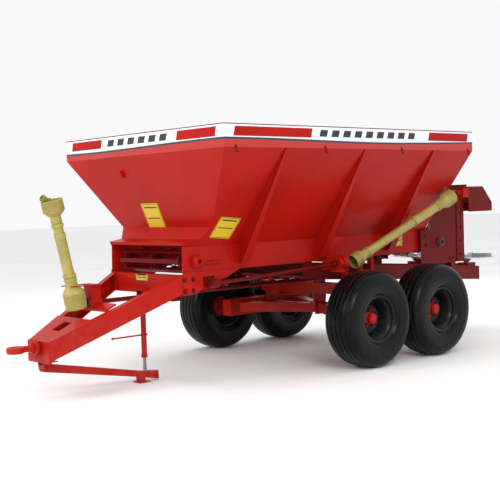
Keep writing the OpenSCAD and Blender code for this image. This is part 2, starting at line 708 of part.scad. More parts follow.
// ---- Running gear ----

module axle_beam() color(red) placed() {
  low = axle_beam_top - axle_beam_h;
  half = axle_beam_w / 2;
  difference() {
    block([pivot_x - half, -rocker_y - 20, low], [pivot_x + half, rocker_y + 20, axle_beam_top]);
    for (s = [LEFT, RIGHT]) translate([pivot_x, s * (rocker_y + 21), (low + axle_beam_top) / 2])
      cube([axle_beam_w - 20, 120, axle_beam_h - 20], center = true);
  }
  // Saddle plates and the posts up to the trough walls
  for (s = [LEFT, RIGHT]) {
    y = s * (wall_y + 4) - 26;
    block([pivot_x - 210, y, axle_beam_top], [pivot_x + 240, y + 52, axle_beam_top + 12]);
    for (x = [-200, 12, 180]) block([pivot_x + x, y, axle_beam_top + 12], [pivot_x + x + 45, y + 52, trough_z]);
  }
  // Hangers for the pivot axle
  for (y = [-hanger_y - hanger_t, -hanger_t / 2, hanger_y]) difference() {
    side_profile([[pivot_x - 95, low], [pivot_x - 60, axle_z - 70], [pivot_x + 60, axle_z - 70], [pivot_x + 95, low]],
      y, y + hanger_t);
    translate([pivot_x, 0, axle_z]) y_rod(y - 1, y + hanger_t + 1, pivot_d / 2);
  }
  // Middle bearing of the rear shaft
  difference() {
    block([pivot_x - 35, -55, axle_beam_top], [pivot_x + 35, 55, drive_z + 42]);
    translate([0, 0, drive_z]) x_rod(pivot_x - 40, pivot_x + 40, shaft_d / 2 + shaft_play);
  }
}

module pivot_axle() color(steel) placed() translate([pivot_x, 0, axle_z]) {
  y_rod(-rocker_y - rocker_w / 2 - 16, rocker_y + rocker_w / 2 + 16, pivot_d / 2);
}

module rocker(s) {
  bore = pivot_d / 2 + pivot_play;
  inner = 24;
  difference() {
    union() {
      translate([pivot_x, s * rocker_y, axle_z]) cube([wheelbase + 240, rocker_w, rocker_h], center = true);
      // Diagonal braces to the pivot near the middle
      for (k = [-1, 1]) intersection() {
        translate([0, 0, axle_z - 48]) linear_extrude(96) polygon([
          [pivot_x + k * 460, s * (rocker_y - rocker_w / 2)], [pivot_x + k * 330, s * (rocker_y - rocker_w / 2)],
          [pivot_x, s * (inner + 60)], [pivot_x, s * inner], [pivot_x + k * 50, s * inner]]);
        block([pivot_x - 500, -big, 0], [pivot_x + 500, big, 900]);
      }
      translate([pivot_x, 0, axle_z]) y_rod(s == LEFT ? inner : -inner - 120, s == LEFT ? inner + 120 : -inner, 60);
      // Stub axles
      for (x = [0, wheelbase]) translate([x, 0, axle_z]) {
        y_rod(s == LEFT ? rocker_y : -track / 2 - 30, s == LEFT ? track / 2 + 30 : -rocker_y, 27);
      }
    }
    translate([pivot_x, 0, axle_z]) y_rod(-big / 2, big / 2, bore);
    // Room for the outer hanger
    y = s == LEFT ? hanger_y - 6 : -hanger_y - hanger_t - 6;
    block([pivot_x - 130, y, 0], [pivot_x + 130, y + hanger_t + 12, 900]);
  }
}

module rocker_left() color(red) placed() rocker(LEFT);

module rocker_right() color(red) placed() rocker(RIGHT);

// Depth of the bead seat below the rim flange, and the flange's inner face
rim_seat = 19;
flange_y = tyre_w * 0.36 + 2;

// Half outline of a tyre's section, from the bead up over the side to the crown
function tyre_arc(w, bead, crown) =
  let(mid = bead + (crown - bead) * 0.5)
  concat(
    [for (a = [0:15:75]) [mid - (mid - bead) * cos(a), w * (0.70 + 0.30 * sin(a))]],
    [for (a = [0:7.5:90]) [mid + (crown - mid) * pow(sin(a), 0.62), w * pow(cos(a), 0.62)]]);

function mirrored(points) = concat(points, [for (i = [len(points) - 1:-1:0]) [points[i][0], -points[i][1]]]);

// A tyre about the Y axis, hollow, with round grooves in its tread
module tyre() {
  r = tyre_d / 2;
  w = tyre_w / 2;
  bead = rim_d / 2 - rim_seat;
  wall = 24;
  groove_step = tyre_w * 0.155;
  rotate([90, 0, 0]) rotate_extrude($fn = 96) difference() {
    polygon(mirrored(tyre_arc(w, bead, r)));
    difference() {
      polygon(mirrored(tyre_arc(w - wall, bead - 1, r - wall - 10)));
      // Bead feet
      for (y = [flange_y - 22, -flange_y - 78]) translate([0, y]) square([rim_d / 2 + 14, 100]);
    }
    for (i = [-2:2]) translate([r - 12 - 3 * abs(i), i * groove_step - 5]) square([40, 10]);
    // Room for the rim's flanges
    for (y = [flange_y, -flange_y - 100]) translate([0, y]) square([rim_d / 2, 100]);
  }
}

// A wheel rim, its disc and hub about the Y axis; side is the outer side
module wheel(s) {
  r = rim_d / 2;
  half = tyre_w * 0.36;
  bore = 27 + pivot_play;
  difference() {
    union() {
      rotate([90, 0, 0]) rotate_extrude($fn = 96) polygon([
        [r, -half - 12], [r, -half - 2], [r - rim_seat, -half - 2], [r - 19, -half + 30], [r - 46, -half + 52],
        [r - 46, half - 52], [r - 19, half - 30], [r - rim_seat, half + 2], [r, half + 2], [r, half + 12],
        [r - 28, half + 12], [r - 28, half - 24], [r - 54, half - 46], [r - 54, -half + 46], [r - 28, -half + 24],
        [r - 28, -half - 12]]);
      // Wheel disc, set towards the inside
      rotate([90 * s, 0, 0]) rotate_extrude($fn = 96) polygon([[0, -6], [70, -6], [100, -26], [r - 50, -26],
        [r - 50, -12], [106, -12], [78, 8], [0, 8]]);
      // Hub with its cap
      y_rod(s == LEFT ? -70 : -52, s == LEFT ? 52 : 70, 52);
      y_rod(s == LEFT ? 52 : -66, s == LEFT ? 66 : -52, hub_d / 2 - 12);
      for (i = [0:5]) rotate([0, 60 * i + 12, 0]) translate([78, 0, 0])
        y_rod(s == LEFT ? -30 : -36, s == LEFT ? 36 : 30, 11, $fn = 24);
    }
    y_rod(s == LEFT ? -90 : -31, s == LEFT ? 31 : 90, bore);
  }
}

function wheel_places() = [[0, LEFT], [0, RIGHT], [wheelbase, LEFT], [wheelbase, RIGHT]];

module at_wheel(i) translate([wheel_places()[i][0], wheel_places()[i][1] * track / 2, axle_z]) children();

module tyre_front_left() color(black) placed() at_wheel(0) tyre();

module tyre_front_right() color(black) placed() at_wheel(1) tyre();

module tyre_rear_left() color(black) placed() at_wheel(2) tyre();

module tyre_rear_right() color(black) placed() at_wheel(3) tyre();

module wheel_front_left() color(black) placed() at_wheel(0) wheel(LEFT);

module wheel_front_right() color(black) placed() at_wheel(1) wheel(RIGHT);

module wheel_rear_left() color(black) placed() at_wheel(2) wheel(LEFT);

module wheel_rear_right() color(black) placed() at_wheel(3) wheel(RIGHT);

// ---- Driveline ----

module input_bracket() color(red) placed() {
  top = 895;
  difference() {
    union() {
      // Foot across both beams, cut to their slope
      intersection() {
        block([bracket_x - 71, -260, 500], [bracket_x + 36, 260, 900]);
        side_profile([[bracket_x - 200, beam_top(bracket_x - 200)], [bracket_x + 200, beam_top(bracket_x + 200)],
          [bracket_x + 200, beam_top(bracket_x + 200) + 14], [bracket_x - 200, beam_top(bracket_x - 200) + 14]],
          -big, big);
      }
      difference() {
        block([bracket_x - 71, -54, beam_top(bracket_x - 71) + 10], [bracket_x + 36, 54, top]);
        block([bracket_x - 59, -55, beam_top(bracket_x) + 40], [bracket_x + 37, -42, top - 14]);
        block([bracket_x - 59, 42, beam_top(bracket_x) + 40], [bracket_x + 37, 55, top - 14]);
        block([bracket_x - 200, -big, 0], [bracket_x + 200, big, beam_top(bracket_x - 71) + 10]);
      }
      translate([0, 0, drive_z]) x_rod(bracket_x - 80, bracket_x + 44, 48);
    }
    translate([0, 0, drive_z]) x_rod(bracket_x - 90, bracket_x + 60, shaft_d / 2 + shaft_play);
    side_profile([[bracket_x - 200, 0], [bracket_x + 200, 0], [bracket_x + 200, beam_top(bracket_x + 200)],
      [bracket_x - 200, beam_top(bracket_x - 200)]], -big, big);
  }
  // Fork that keeps the parked shaft from falling sideways
  fork_y = guard_d / 2 + 24;
  for (s = [LEFT, RIGHT]) translate([0, s * fork_y, top + 2]) x_rod(bracket_x - 275, bracket_x + 14, 5);
  block([bracket_x - 60, -fork_y - 8, top - 4], [bracket_x + 20, fork_y + 8, top + 4]);
}

module yoke(r, w, reach) {
  // Two ears either side of the cross
  for (s = [LEFT, RIGHT]) difference() {
    union() {
      translate([-reach, s * w - 6, -16]) cube([reach, 12, 32]);
      translate([0, s * w - 6, 0]) y_rod(0, 12, 20);
    }
  }
  translate([-reach - 14, 0, 0]) x_rod(0, 18, r);
}

module input_shaft() color(steel) placed() translate([0, 0, drive_z]) {
  x_rod(joint_x + 60, disc_x - 30, shaft_d / 2);
  x_rod(bracket_x + 46, bracket_x + 60, 34);
  x_rod(split_x - split_w / 2 - 30, split_x - split_w / 2 - 4, 36);
  x_rod(split_x + split_w / 2 + 4, split_x + split_w / 2 + 30, 36);
  x_rod(disc_x - 130, disc_x - 84, 36);
  translate([joint_x, 0, 0]) mirror([1, 0, 0]) yoke(34, 34, 52);
  // Cross of the joint
  translate([joint_x, 0, 0]) {
    y_rod(-34, 34, 9);
    rotate([0, 90, 0]) translate([0, 0, -30]) cylinder(h = 60, r = 9);
  }
}

top_joint = 845;
front_top = [joint_x - sin(park_lean) * 900, 0, drive_z + cos(park_lean) * 900];

// Cone guard: a stepped bell, ribbed on the outside and hollow
module bell(z0, len, r_small, r_big, flip) translate([0, 0, z0]) mirror([0, 0, flip ? 1 : 0]) difference() {
  union() {
    cylinder(h = len * 0.3, r = r_small + 8);
    translate([0, 0, len * 0.3]) cylinder(h = len * 0.35, r1 = r_small + 8, r2 = r_big);
    translate([0, 0, len * 0.65]) cylinder(h = len * 0.35, r = r_big);
    for (i = [0:2]) translate([0, 0, len * (0.70 + 0.1 * i)]) cylinder(h = 6, r = r_big + 3);
  }
  translate([0, 0, -1]) cylinder(h = len, r = r_small);
  translate([0, 0, len * 0.3]) cylinder(h = len * 0.35, r1 = r_small, r2 = r_big - 4);
  translate([0, 0, len * 0.65 - 0.01]) cylinder(h = len, r = r_big - 4);
}

module front_guard_lower() color(olive) placed() along([joint_x, 0, drive_z], front_top) {
  difference() {
    translate([0, 0, 150]) cylinder(h = 390, r = guard_d / 2);
    translate([0, 0, 149]) cylinder(h = 400, r = guard_d / 2 - 4);
  }
  bell(233, 225, guard_d / 2, 98, true);
  difference() {
    translate([0, 0, 500]) cylinder(h = 110, r = guard_d / 2 + 6);
    translate([0, 0, 499]) cylinder(h = 112, r = guard_d / 2);
  }
}

module front_guard_upper() color(olive) placed() along([joint_x, 0, drive_z], front_top) {
  difference() {
    union() {
      translate([0, 0, 240]) cylinder(h = 500, r = guard_d / 2 - 4.5);
    }
    translate([0, 0, 239]) cylinder(h = 600, r = guard_d / 2 - 8);
  }
  bell(690, 200, guard_d / 2 - 4.5, 100, false);
}

module front_shaft() color(steel) placed() along([joint_x, 0, drive_z], front_top) {
  translate([0, 0, 130]) cylinder(h = top_joint - 182, r = 20);
  translate([0, 0, top_joint - 66]) cylinder(h = 18, r = 34);
  for (s = [LEFT, RIGHT]) translate([s * 34 - 6, -16, top_joint - 52]) cube([12, 32, 52]);
  translate([0, 0, top_joint]) rotate([0, 90, 0]) translate([0, 0, -40]) cylinder(h = 80, r = 9);
}

// Splined yoke for the tractor's shaft, drooping on its joint
module tractor_yoke() color(dark_red) placed() along([joint_x, 0, drive_z], front_top)
  translate([0, 0, top_joint]) rotate([0, yoke_droop, 0]) difference() {
    union() {
      for (s = [LEFT, RIGHT]) translate([-15, s * 34 - 6, -14]) cube([30, 12, 62]);
      translate([0, 0, 46]) cylinder(h = 14, r = 40);
      translate([0, 0, 46]) cylinder(h = 74, r = 28);
      for (y = [-34, 10]) y_rod(y, y + 24, 8.5);
    }
    translate([0, 0, 58]) cylinder(h = 100, r = 17.5);
  }

module splitter_gearbox() color(dark_red) placed() difference() {
  union() {
    block([split_x - split_w / 2, -wall_y - 14, 800], [split_x + split_w / 2, 90, 908]);
    // Elbow of the side output
    translate([split_x, 0, side_start[2]]) y_rod(-wall_y - 122, -wall_y, 40);
    translate([0, side_start[1], side_start[2]]) x_rod(split_x, split_x + split_w / 2, 34);
    block([split_x - split_w / 2, -90, drive_z - 62], [split_x + split_w / 2, 90, 800]);
    // Ears up to the trough walls
    for (y = [-wall_y, wall_y - 20]) block([split_x - 40, y, 880], [split_x + 40, y + 20, trough_z]);
    block([split_x - 40, 90, 880], [split_x + 40, wall_y - 20, 900]);
  }
  translate([0, 0, drive_z]) x_rod(split_x - split_w, split_x + split_w, shaft_d / 2 + shaft_play);
}

run = norm(side_end - side_start);

module side_shaft() color(steel) placed() along(side_start, side_end) {
  translate([0, 0, 10]) cylinder(h = run - 20, r = 17);
  translate([0, 0, run - 12]) cylinder(h = 168, r = 20);
  // Yoke of the front joint
  for (s = [LEFT, RIGHT]) translate([-18, s * 28 - 7, -34]) cube([36, 14, 60]);
  translate([0, 0, 12]) cylinder(h = 16, r = 36);
  translate([0, 0, run - 60]) cylinder(h = 40, r = 28);
  translate([0, 0, run + 128]) cylinder(h = 20, r = 34);
}

module side_bearing() color(red) placed() difference() {
  c = side_end;
  union() {
    along(side_start, side_end) {
      translate([0, 0, run + 4]) cylinder(h = 110, r = 66);
      translate([0, 0, run + 50]) cylinder(h = 22, r = 78);
      for (i = [0:5]) rotate(60 * i) translate([56, 0, run + 114]) cylinder(h = 9, r = 8, $fn = 24);
    }
    block([c[0] + 8, c[1] - 50, c[2] - 78], [c[0] + 64, c[1] + 78, c[2] + 40]);
    // Arm back to the trough wall
    block([c[0] + 8, c[1] + 78, c[2] - 60], [c[0] + 64, -wall_y, c[2] + 50]);
  }
  along(side_start, side_end) cylinder(h = run + 300, r = 20 + shaft_play);
}

side_low = [side_end[0] + 232, side_end[1] - 22, side_end[2] + 14];
side_len = norm(side_top - side_low);

module side_guard() color(olive) placed() along(side_low, side_top) {
  difference() {
    translate([0, 0, 150]) cylinder(h = side_len - 490, r = guard_d / 2 - 3);
    translate([0, 0, 149]) cylinder(h = side_len, r = guard_d / 2 - 8);
  }
  difference() {
    translate([0, 0, side_len - 660]) cylinder(h = 400, r = guard_d / 2 + 2);
    translate([0, 0, side_len - 661]) cylinder(h = 402, r = guard_d / 2 - 3);
  }
  bell(170, 190, guard_d / 2 - 3, 80, true);
  bell(side_len - 300, 220, guard_d / 2 + 2, 78, false);
}

module side_drive_shaft() color(steel) placed() along(side_low, side_top) {
  translate([0, 0, 30]) cylinder(h = side_len - 70, r = 20);
  for (z = [20, side_len - 60]) translate([0, 0, z]) cylinder(h = 30, r = 32);
}

chassis_plates();
front_cross_member();
drawbar_beam_left();
drawbar_beam_right();
drawbar_nose();
chassis_bolts();
hopper_front();
hopper_side_left();
hopper_side_right();
hopper_rear();
hopper_floor();
rim_band();
side_ribs();
tarp_hooks();
rear_panel_left();
rear_panel_right();
beater_cover();
subframe_beam_left();
subframe_beam_right();
subframe_ties();
axle_beam();
pivot_axle();
input_bracket();
conveyor_chains();
conveyor_slats();
splitter_gearbox();
side_bearing();
beater_gearbox();
disc_gearbox();
conveyor_gearbox();
side_guard();
hitch_eye();
stand_bar();
jack_tube();
jack_screw();
input_shaft();
front_guard_lower();
front_guard_upper();
front_shaft();
tractor_yoke();
side_shaft();
side_drive_shaft();
spreading_disc_left();
spreading_disc_right();
beater();
conveyor_idler();
conveyor_drive();
metering_gate();
rear_hood();
chain_tensioner();
rocker_left();
rocker_right();
tyre_front_left();
tyre_front_right();
tyre_rear_left();
tyre_rear_right();
wheel_front_left();
wheel_front_right();
wheel_rear_left();
wheel_rear_right();
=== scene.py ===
"""Looks of a towed compost and lime spreader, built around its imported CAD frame."""

import json
import logging
import math
from dataclasses import dataclass
from enum import Enum
from typing import Callable, Iterable, Sequence

import bmesh
import bpy
from mathutils import Matrix, Vector


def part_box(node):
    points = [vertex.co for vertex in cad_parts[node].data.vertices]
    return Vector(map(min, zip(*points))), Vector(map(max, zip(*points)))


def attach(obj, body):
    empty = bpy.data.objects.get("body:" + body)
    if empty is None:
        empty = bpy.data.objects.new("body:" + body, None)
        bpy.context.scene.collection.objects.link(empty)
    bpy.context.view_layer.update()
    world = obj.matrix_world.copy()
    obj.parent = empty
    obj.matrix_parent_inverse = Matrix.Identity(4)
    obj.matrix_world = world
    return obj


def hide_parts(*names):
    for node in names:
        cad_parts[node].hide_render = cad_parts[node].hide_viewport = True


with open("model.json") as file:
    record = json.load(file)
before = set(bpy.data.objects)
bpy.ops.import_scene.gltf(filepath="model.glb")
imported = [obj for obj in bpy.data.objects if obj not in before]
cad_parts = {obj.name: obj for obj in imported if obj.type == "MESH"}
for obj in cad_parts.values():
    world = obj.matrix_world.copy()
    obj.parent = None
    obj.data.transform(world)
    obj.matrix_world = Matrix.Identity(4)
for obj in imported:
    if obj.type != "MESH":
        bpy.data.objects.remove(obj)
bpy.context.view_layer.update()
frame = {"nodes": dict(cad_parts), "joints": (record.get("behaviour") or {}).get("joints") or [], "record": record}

log = logging.getLogger("spreader")
Profile = list[tuple[float, float]]


class Slot(Enum):
    """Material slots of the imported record."""

    RED = "red_paint"
    # painted shade: the record's dark red slot is a darker copy of the red paint, for red parts that sit in shadow
    DARK_RED = "dark_red_paint"
    BAND = "band_paint"
    GUARD = "guard_plastic"
    TYRE = "tyre_rubber"
    BLACK = "black_paint"
    GALVANISED = "galvanised"
    STEEL = "bright_steel"


class Side(Enum):
    """Side of the machine, as the sign of its Y."""

    LEFT = 1
    RIGHT = -1


# ---------------------------------------------------------------- shader maths


class Value:
    """A shader socket that takes part in Python sums; each sum adds a Math node."""

    def __init__(self, graph: "Graph", socket: bpy.types.NodeSocket) -> None:
        """Keeps the graph and the output socket."""
        self.graph = graph
        self.socket = socket

    def math(self, operation: str, *others: "Value | float") -> "Value":
        """Adds one Math node after this socket.

        Args:
            operation: the node's operation.
            others: values of its further inputs.

        Returns:
            The node's result.
        """
        links = {i + 1: other for i, other in enumerate(others)}
        return self.graph.node("ShaderNodeMath", {"operation": operation}, {0: self, **links})

    def __add__(self, other: "Value | float") -> "Value":
        """Sum."""
        return self.math("ADD", other)

    def __radd__(self, other: float) -> "Value":
        """Sum with a number on the left."""
        return self.math("ADD", other)

    def __sub__(self, other: "Value | float") -> "Value":
        """Difference."""
        return self.math("SUBTRACT", other)

    def __rsub__(self, other: float) -> "Value":
        """A number minus this value."""
        return self.graph.node("ShaderNodeMath", {"operation": "SUBTRACT"}, {0: other, 1: self})

    def __mul__(self, other: "Value | float") -> "Value":
        """Product."""
        return self.math("MULTIPLY", other)

    def __rmul__(self, other: float) -> "Value":
        """Product with a number on the left."""
        return self.math("MULTIPLY", other)

    def __truediv__(self, other: "Value | float") -> "Value":
        """Quotient."""
        return self.math("DIVIDE", other)

    def above(self, level: float) -> "Value":
        """One where the value is greater than the level."""
        return self.math("GREATER_THAN", level)

    def clamped(self) -> "Value":
        """The value held between 0 and 1."""
        return self.graph.node("ShaderNodeClamp", {}, {0: self})

    def stretched(self, low: float, high: float) -> "Value":
        """The value rescaled so that low becomes 0 and high becomes 1, clamped."""
        return self.graph.node("ShaderNodeMapRange", {"clamp": True}, {0: self, 1: low, 2: high})


class Graph:
    """The node tree of one material around a Principled shader."""

    def __init__(self, name: str) -> None:
        """Makes an empty material with a shader and object coordinates."""
        self.material = bpy.data.materials.new(name)
        self.material.use_nodes = True
        self.tree = self.material.node_tree
        self.shader = self.tree.nodes["Principled BSDF"]
        self.place = self.node("ShaderNodeTexCoord", {}, {}, "Object")

    def node(self, kind: str, settings: dict, links: dict, output: str | int = 0) -> Value:
        """Adds a node.

        Args:
            kind: the node's type.
            settings: its properties; "stops" sets a ramp's stops.
            links: input name or number to a value, or to a number or tuple.
            output: name or number of the output to return.

        Returns:
            The wanted output.
        """
        made = self.tree.nodes.new(kind)
        for key, value in settings.items():
            if key == "stops":
                ramp = made.color_ramp
                while len(ramp.elements) < len(value):
                    ramp.elements.new(0.5)
                for element, (at, colour) in zip(ramp.elements, value):
                    element.position, element.color = at, (*colour, 1.0)
            else:
                setattr(made, key, value)
        for key, value in links.items():
            self.join(value, made.inputs[key])
        return Value(self, made.outputs[output])

    def join(self, value: "Value | float | tuple", target: bpy.types.NodeSocket) -> None:
        """Links a value to an input, or writes a number or colour into it."""
        if isinstance(value, Value):
            self.tree.links.new(value.socket, target)
        elif isinstance(value, tuple) and len(value) == 3 and target.type == "RGBA":
            target.default_value = (*value, 1.0)
        else:
            target.default_value = value

    def noise(self, scale: float, detail: float = 3.0, rough: float = 0.5,
              stretch: tuple[float, float, float] = (1, 1, 1)) -> Value:
        """Noise of a size and stretch, from 0 to 1."""
        vector = self.node("ShaderNodeMapping", {}, {0: self.place, 3: stretch})
        return self.node("ShaderNodeTexNoise", {}, {"Vector": vector, "Scale": scale,
                                                   "Detail": detail, "Roughness": rough})

    def mix(self, share: "Value | float", first: "Value | tuple", second: "Value | tuple") -> Value:
        """Blends two colours by a share of the second."""
        return self.node("ShaderNodeMix", {"data_type": "RGBA"}, {0: share, 6: first, 7: second}, 2)

    def axis(self, letter: str) -> Value:
        """One coordinate of the surface point, in metres."""
        return self.node("ShaderNodeSeparateXYZ", {}, {0: self.place}, letter)

    def bump(self, height: Value, strength: float, distance: float, under: Value | None = None) -> Value:
        """Adds relief.

        Args:
            height: the relief, 0 to 1.
            strength: how much of it shows.
            distance: its depth in metres.
            under: a normal to build on.

        Returns:
            The new normal.
        """
        links = {"Height": height, "Strength": strength, "Distance": distance}
        if under is not None:
            links["Normal"] = under
        return self.node("ShaderNodeBump", {}, links)

    def dress(self, **inputs: "Value | float | tuple") -> bpy.types.Material:
        """Sets the shader's inputs, with underscores for spaces, and returns the material."""
        for key, value in inputs.items():
            self.join(value, self.shader.inputs[key.replace("_", " ")])
        return self.material


# ------------------------------------------------------------------- finishes


@dataclass(frozen=True)
class Enamel:
    """Sprayed enamel over welded sheet: soft waves, orange peel, road dust low down."""

    name: str
    colour: tuple[float, float, float]
    shade: tuple[float, float, float]
    gloss: float = 0.30
    wave: float = 0.35
    dust: float = 0.12
    dust_top: float = 0.9

    def make(self) -> bpy.types.Material:
        """Builds the material."""
        g = Graph(self.name)
        cloud = g.noise(1.3, 4).stretched(0.3, 0.72)
        streak = g.noise(7, 4, 0.6, (1, 1, 0.12)).stretched(0.52, 0.8)
        colour = g.mix(cloud, self.shade, self.colour)
        colour = g.mix(streak * 0.16, colour, tuple(0.45 * c for c in self.colour))
        low = (1.0 - g.axis("Z") / self.dust_top).clamped()
        dust = (low * g.noise(11, 6, 0.65).stretched(0.35, 0.75) * self.dust).clamped()
        colour = g.mix(dust, colour, (0.42, 0.33, 0.25))
        rough = self.gloss + g.noise(24, 4) * 0.12 + dust * 0.5
        peel = g.bump(g.noise(420, 2), 0.06, 0.0008)
        normal = g.bump(g.noise(1.7, 1, 0.4), self.wave, 0.02, peel)
        return g.dress(Base_Color=colour, Roughness=rough, Normal=normal, Specular_IOR_Level=0.10,
                       Coat_Weight=0.05, Coat_Roughness=0.12)


@dataclass(frozen=True)
class Rubber:
    """Dressed black rubber with a faint mottling and moulded grain."""

    name: str
    gloss: float = 0.24

    def make(self) -> bpy.types.Material:
        """Builds the material."""
        g = Graph(self.name)
        mottle = g.noise(14, 5, 0.6).stretched(0.35, 0.75)
        dirt = (1.0 - g.axis("Z") / 0.22).clamped() * g.noise(30, 5, 0.7).stretched(0.45, 0.8)
        colour = g.mix(mottle, (0.0012, 0.0012, 0.0016), (0.004, 0.004, 0.005))
        colour = g.mix(dirt * 0.22, colour, (0.16, 0.13, 0.10))
        normal = g.bump(g.noise(500, 2), 0.12, 0.0006)
        return g.dress(Base_Color=colour, Roughness=self.gloss + mottle * 0.14 + dirt * 0.3, Normal=normal,
                       Specular_IOR_Level=0.16)


@dataclass(frozen=True)
class Plastic:
    """Weathered moulded plastic of the shaft guards, scuffed and smudged with grease."""

    name: str
    colour: tuple[float, float, float]

    def make(self) -> bpy.types.Material:
        """Builds the material."""
        g = Graph(self.name)
        fade = g.noise(6, 5, 0.6).stretched(0.3, 0.75)
        smear = g.noise(16, 6, 0.7, (1, 1, 0.3)).stretched(0.56, 0.74)
        colour = g.mix(fade, tuple(0.72 * c for c in self.colour), self.colour)
        colour = g.mix(smear * 0.45, colour, (0.10, 0.075, 0.03))
        normal = g.bump(g.noise(260, 3), 0.15, 0.0008)
        return g.dress(Base_Color=colour, Roughness=0.42 + fade * 0.15, Normal=normal)


@dataclass(frozen=True)
class Zinc:
    """Hot-dip galvanising with its spangle."""

    name: str

    def make(self) -> bpy.types.Material:
        """Builds the material."""
        g = Graph(self.name)
        flakes = g.node("ShaderNodeTexVoronoi", {}, {"Vector": g.place, "Scale": 60.0}, "Color")
        grey = g.node("ShaderNodeRGBToBW", {}, {0: flakes})
        stain = g.noise(7, 5, 0.6).stretched(0.45, 0.8)
        colour = g.mix(grey, (0.40, 0.41, 0.42), (0.62, 0.63, 0.65))
        colour = g.mix(stain * 0.35, colour, (0.24, 0.22, 0.20))
        normal = g.bump(g.noise(190, 3), 0.1, 0.0006)
        return g.dress(Base_Color=colour, Metallic=0.85, Roughness=0.34 + grey * 0.2 + stain * 0.15,
                       Normal=normal)


@dataclass(frozen=True)
class Steel:
    """Machined or rolled steel, oiled, with darker patches."""

    name: str
    colour: tuple[float, float, float] = (0.46, 0.45, 0.44)
    rough: float = 0.3

    def make(self) -> bpy.types.Material:
        """Builds the material."""
        g = Graph(self.name)
        lines = g.noise(60, 4, 0.6, (0.15, 4, 4))
        oil = g.noise(9, 5, 0.65).stretched(0.5, 0.75)
        colour = g.mix(oil * 0.6, self.colour, (0.10, 0.085, 0.07))
        normal = g.bump(lines, 0.08, 0.0006)
        return g.dress(Base_Color=colour, Metallic=1.0, Roughness=self.rough + lines * 0.16, Normal=normal)


@dataclass(frozen=True)
class RimBandPaint:
    """Rim band: red foot, a dark line that swells and thins, pale field shaded towards its edges."""

    name: str
    foot: float
    height: float
    red: tuple[float, float, float]

    def make(self) -> bpy.types.Material:
        """Builds the material."""
        g = Graph(self.name)
        level = (g.axis("Z") - self.foot) / self.height
        along = g.axis("X") + g.axis("Y")
        sweep = (along * 1.9).math("SINE") * 0.05 + (along * 0.8).math("SINE") * 0.03
        level_low = level - sweep
        field = g.node("ShaderNodeValToRGB", {"stops": [
            (0.0, (0.46, 0.52, 0.62)), (0.35, (0.66, 0.72, 0.80)), (0.7, (0.83, 0.87, 0.92)),
            (1.0, (0.70, 0.76, 0.84))]}, {0: level})
        field = g.mix(g.noise(4, 3).stretched(0.3, 0.8) * 0.12, field, (0.45, 0.5, 0.6))
        colour = g.mix(1.0 - level_low.above(0.40), field, (0.02, 0.02, 0.025))
        colour = g.mix(1.0 - level_low.above(0.31), colour, self.red)
        colour = g.mix(level.above(0.955), colour, tuple(0.5 * c for c in self.red))
        rough = 0.25 + g.noise(20, 4) * 0.12
        normal = g.bump(g.noise(2.2, 1, 0.4), 0.25, 0.012)
        return g.dress(Base_Color=colour, Roughness=rough, Normal=normal, Coat_Weight=0.3, Coat_Roughness=0.1)


@dataclass(frozen=True)
class Printed:
    """Flat printed film or moulded lens with slight fading and handling marks."""

    name: str
    colour: tuple[float, float, float]
    rough: float = 0.4

    def make(self) -> bpy.types.Material:
        """Builds the material."""
        g = Graph(self.name)
        fade = g.noise(40, 4, 0.6).stretched(0.3, 0.8)
        colour = g.mix(fade * 0.35, self.colour, tuple(0.6 * c for c in self.colour))
        return g.dress(Base_Color=colour, Roughness=self.rough + fade * 0.1,
                       Normal=g.bump(g.noise(300), 0.05, 0.0005))


RED_COLOUR = (0.42, 0.008, 0.003)


@dataclass(frozen=True)
class Finishes:
    """All the materials of the machine."""

    red: bpy.types.Material
    dark_red: bpy.types.Material
    band: bpy.types.Material
    guard: bpy.types.Material
    tyre: bpy.types.Material
    black: bpy.types.Material
    zinc: bpy.types.Material
    steel: bpy.types.Material
    yellow: bpy.types.Material
    ink: bpy.types.Material
    amber: bpy.types.Material
    bead: bpy.types.Material
    olive: bpy.types.Material

    @classmethod
    def build(cls) -> "Finishes":
        """Builds each finish once."""
        low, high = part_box("rim_band")
        return cls(
            red=Enamel("red_enamel", RED_COLOUR, (0.33, 0.006, 0.003)).make(),
            # painted shade: a darker copy of the red enamel, for red parts that sit in shadow under the hopper and
            # beside the wheels
            dark_red=Enamel("shaded_red_enamel", (0.16, 0.003, 0.003), (0.10, 0.002, 0.002), 0.34).make(),
            band=RimBandPaint("rim_band_paint", low.z, high.z - low.z, RED_COLOUR).make(),
            guard=Plastic("guard_moulding", (0.42, 0.345, 0.085)).make(),
            tyre=Rubber("tyre_dressing").make(),
            black=Enamel("black_enamel", (0.012, 0.012, 0.014), (0.007, 0.007, 0.008),
                         0.22, 0.1, 0.18, 0.5).make(),
            zinc=Zinc("galvanised_skin").make(),
            steel=Steel("shaft_steel").make(),
            yellow=Printed("label_yellow", (0.72, 0.48, 0.012)).make(),
            ink=Printed("label_ink", (0.02, 0.02, 0.02)).make(),
            amber=Printed("amber_lens", (0.75, 0.30, 0.02), 0.15).make(),
            olive=Enamel("yoke_enamel", (0.30, 0.24, 0.045), (0.10, 0.08, 0.03), 0.4, 0.2).make(),
            bead=Enamel("weld_enamel", (0.36, 0.009, 0.006), (0.27, 0.007, 0.005), 0.36, 0.5).make(),
        )

    def of_slot(self, slot: Slot) -> bpy.types.Material:
        """The finish that a record slot shows."""
        return {
            Slot.RED: self.red, Slot.DARK_RED: self.dark_red, Slot.BAND: self.band, Slot.GUARD: self.guard,
            Slot.TYRE: self.tyre, Slot.BLACK: self.black, Slot.GALVANISED: self.zinc, Slot.STEEL: self.steel,
        }[slot]


# -------------------------------------------------------------- making meshes


def aim(origin: Sequence[float], direction: Sequence[float]) -> Matrix:
    """A frame at origin whose Z runs along direction."""
    turn = Vector(direction).normalized().to_track_quat("Z", "Y").to_matrix().to_4x4()
    return Matrix.Translation(Vector(origin)) @ turn


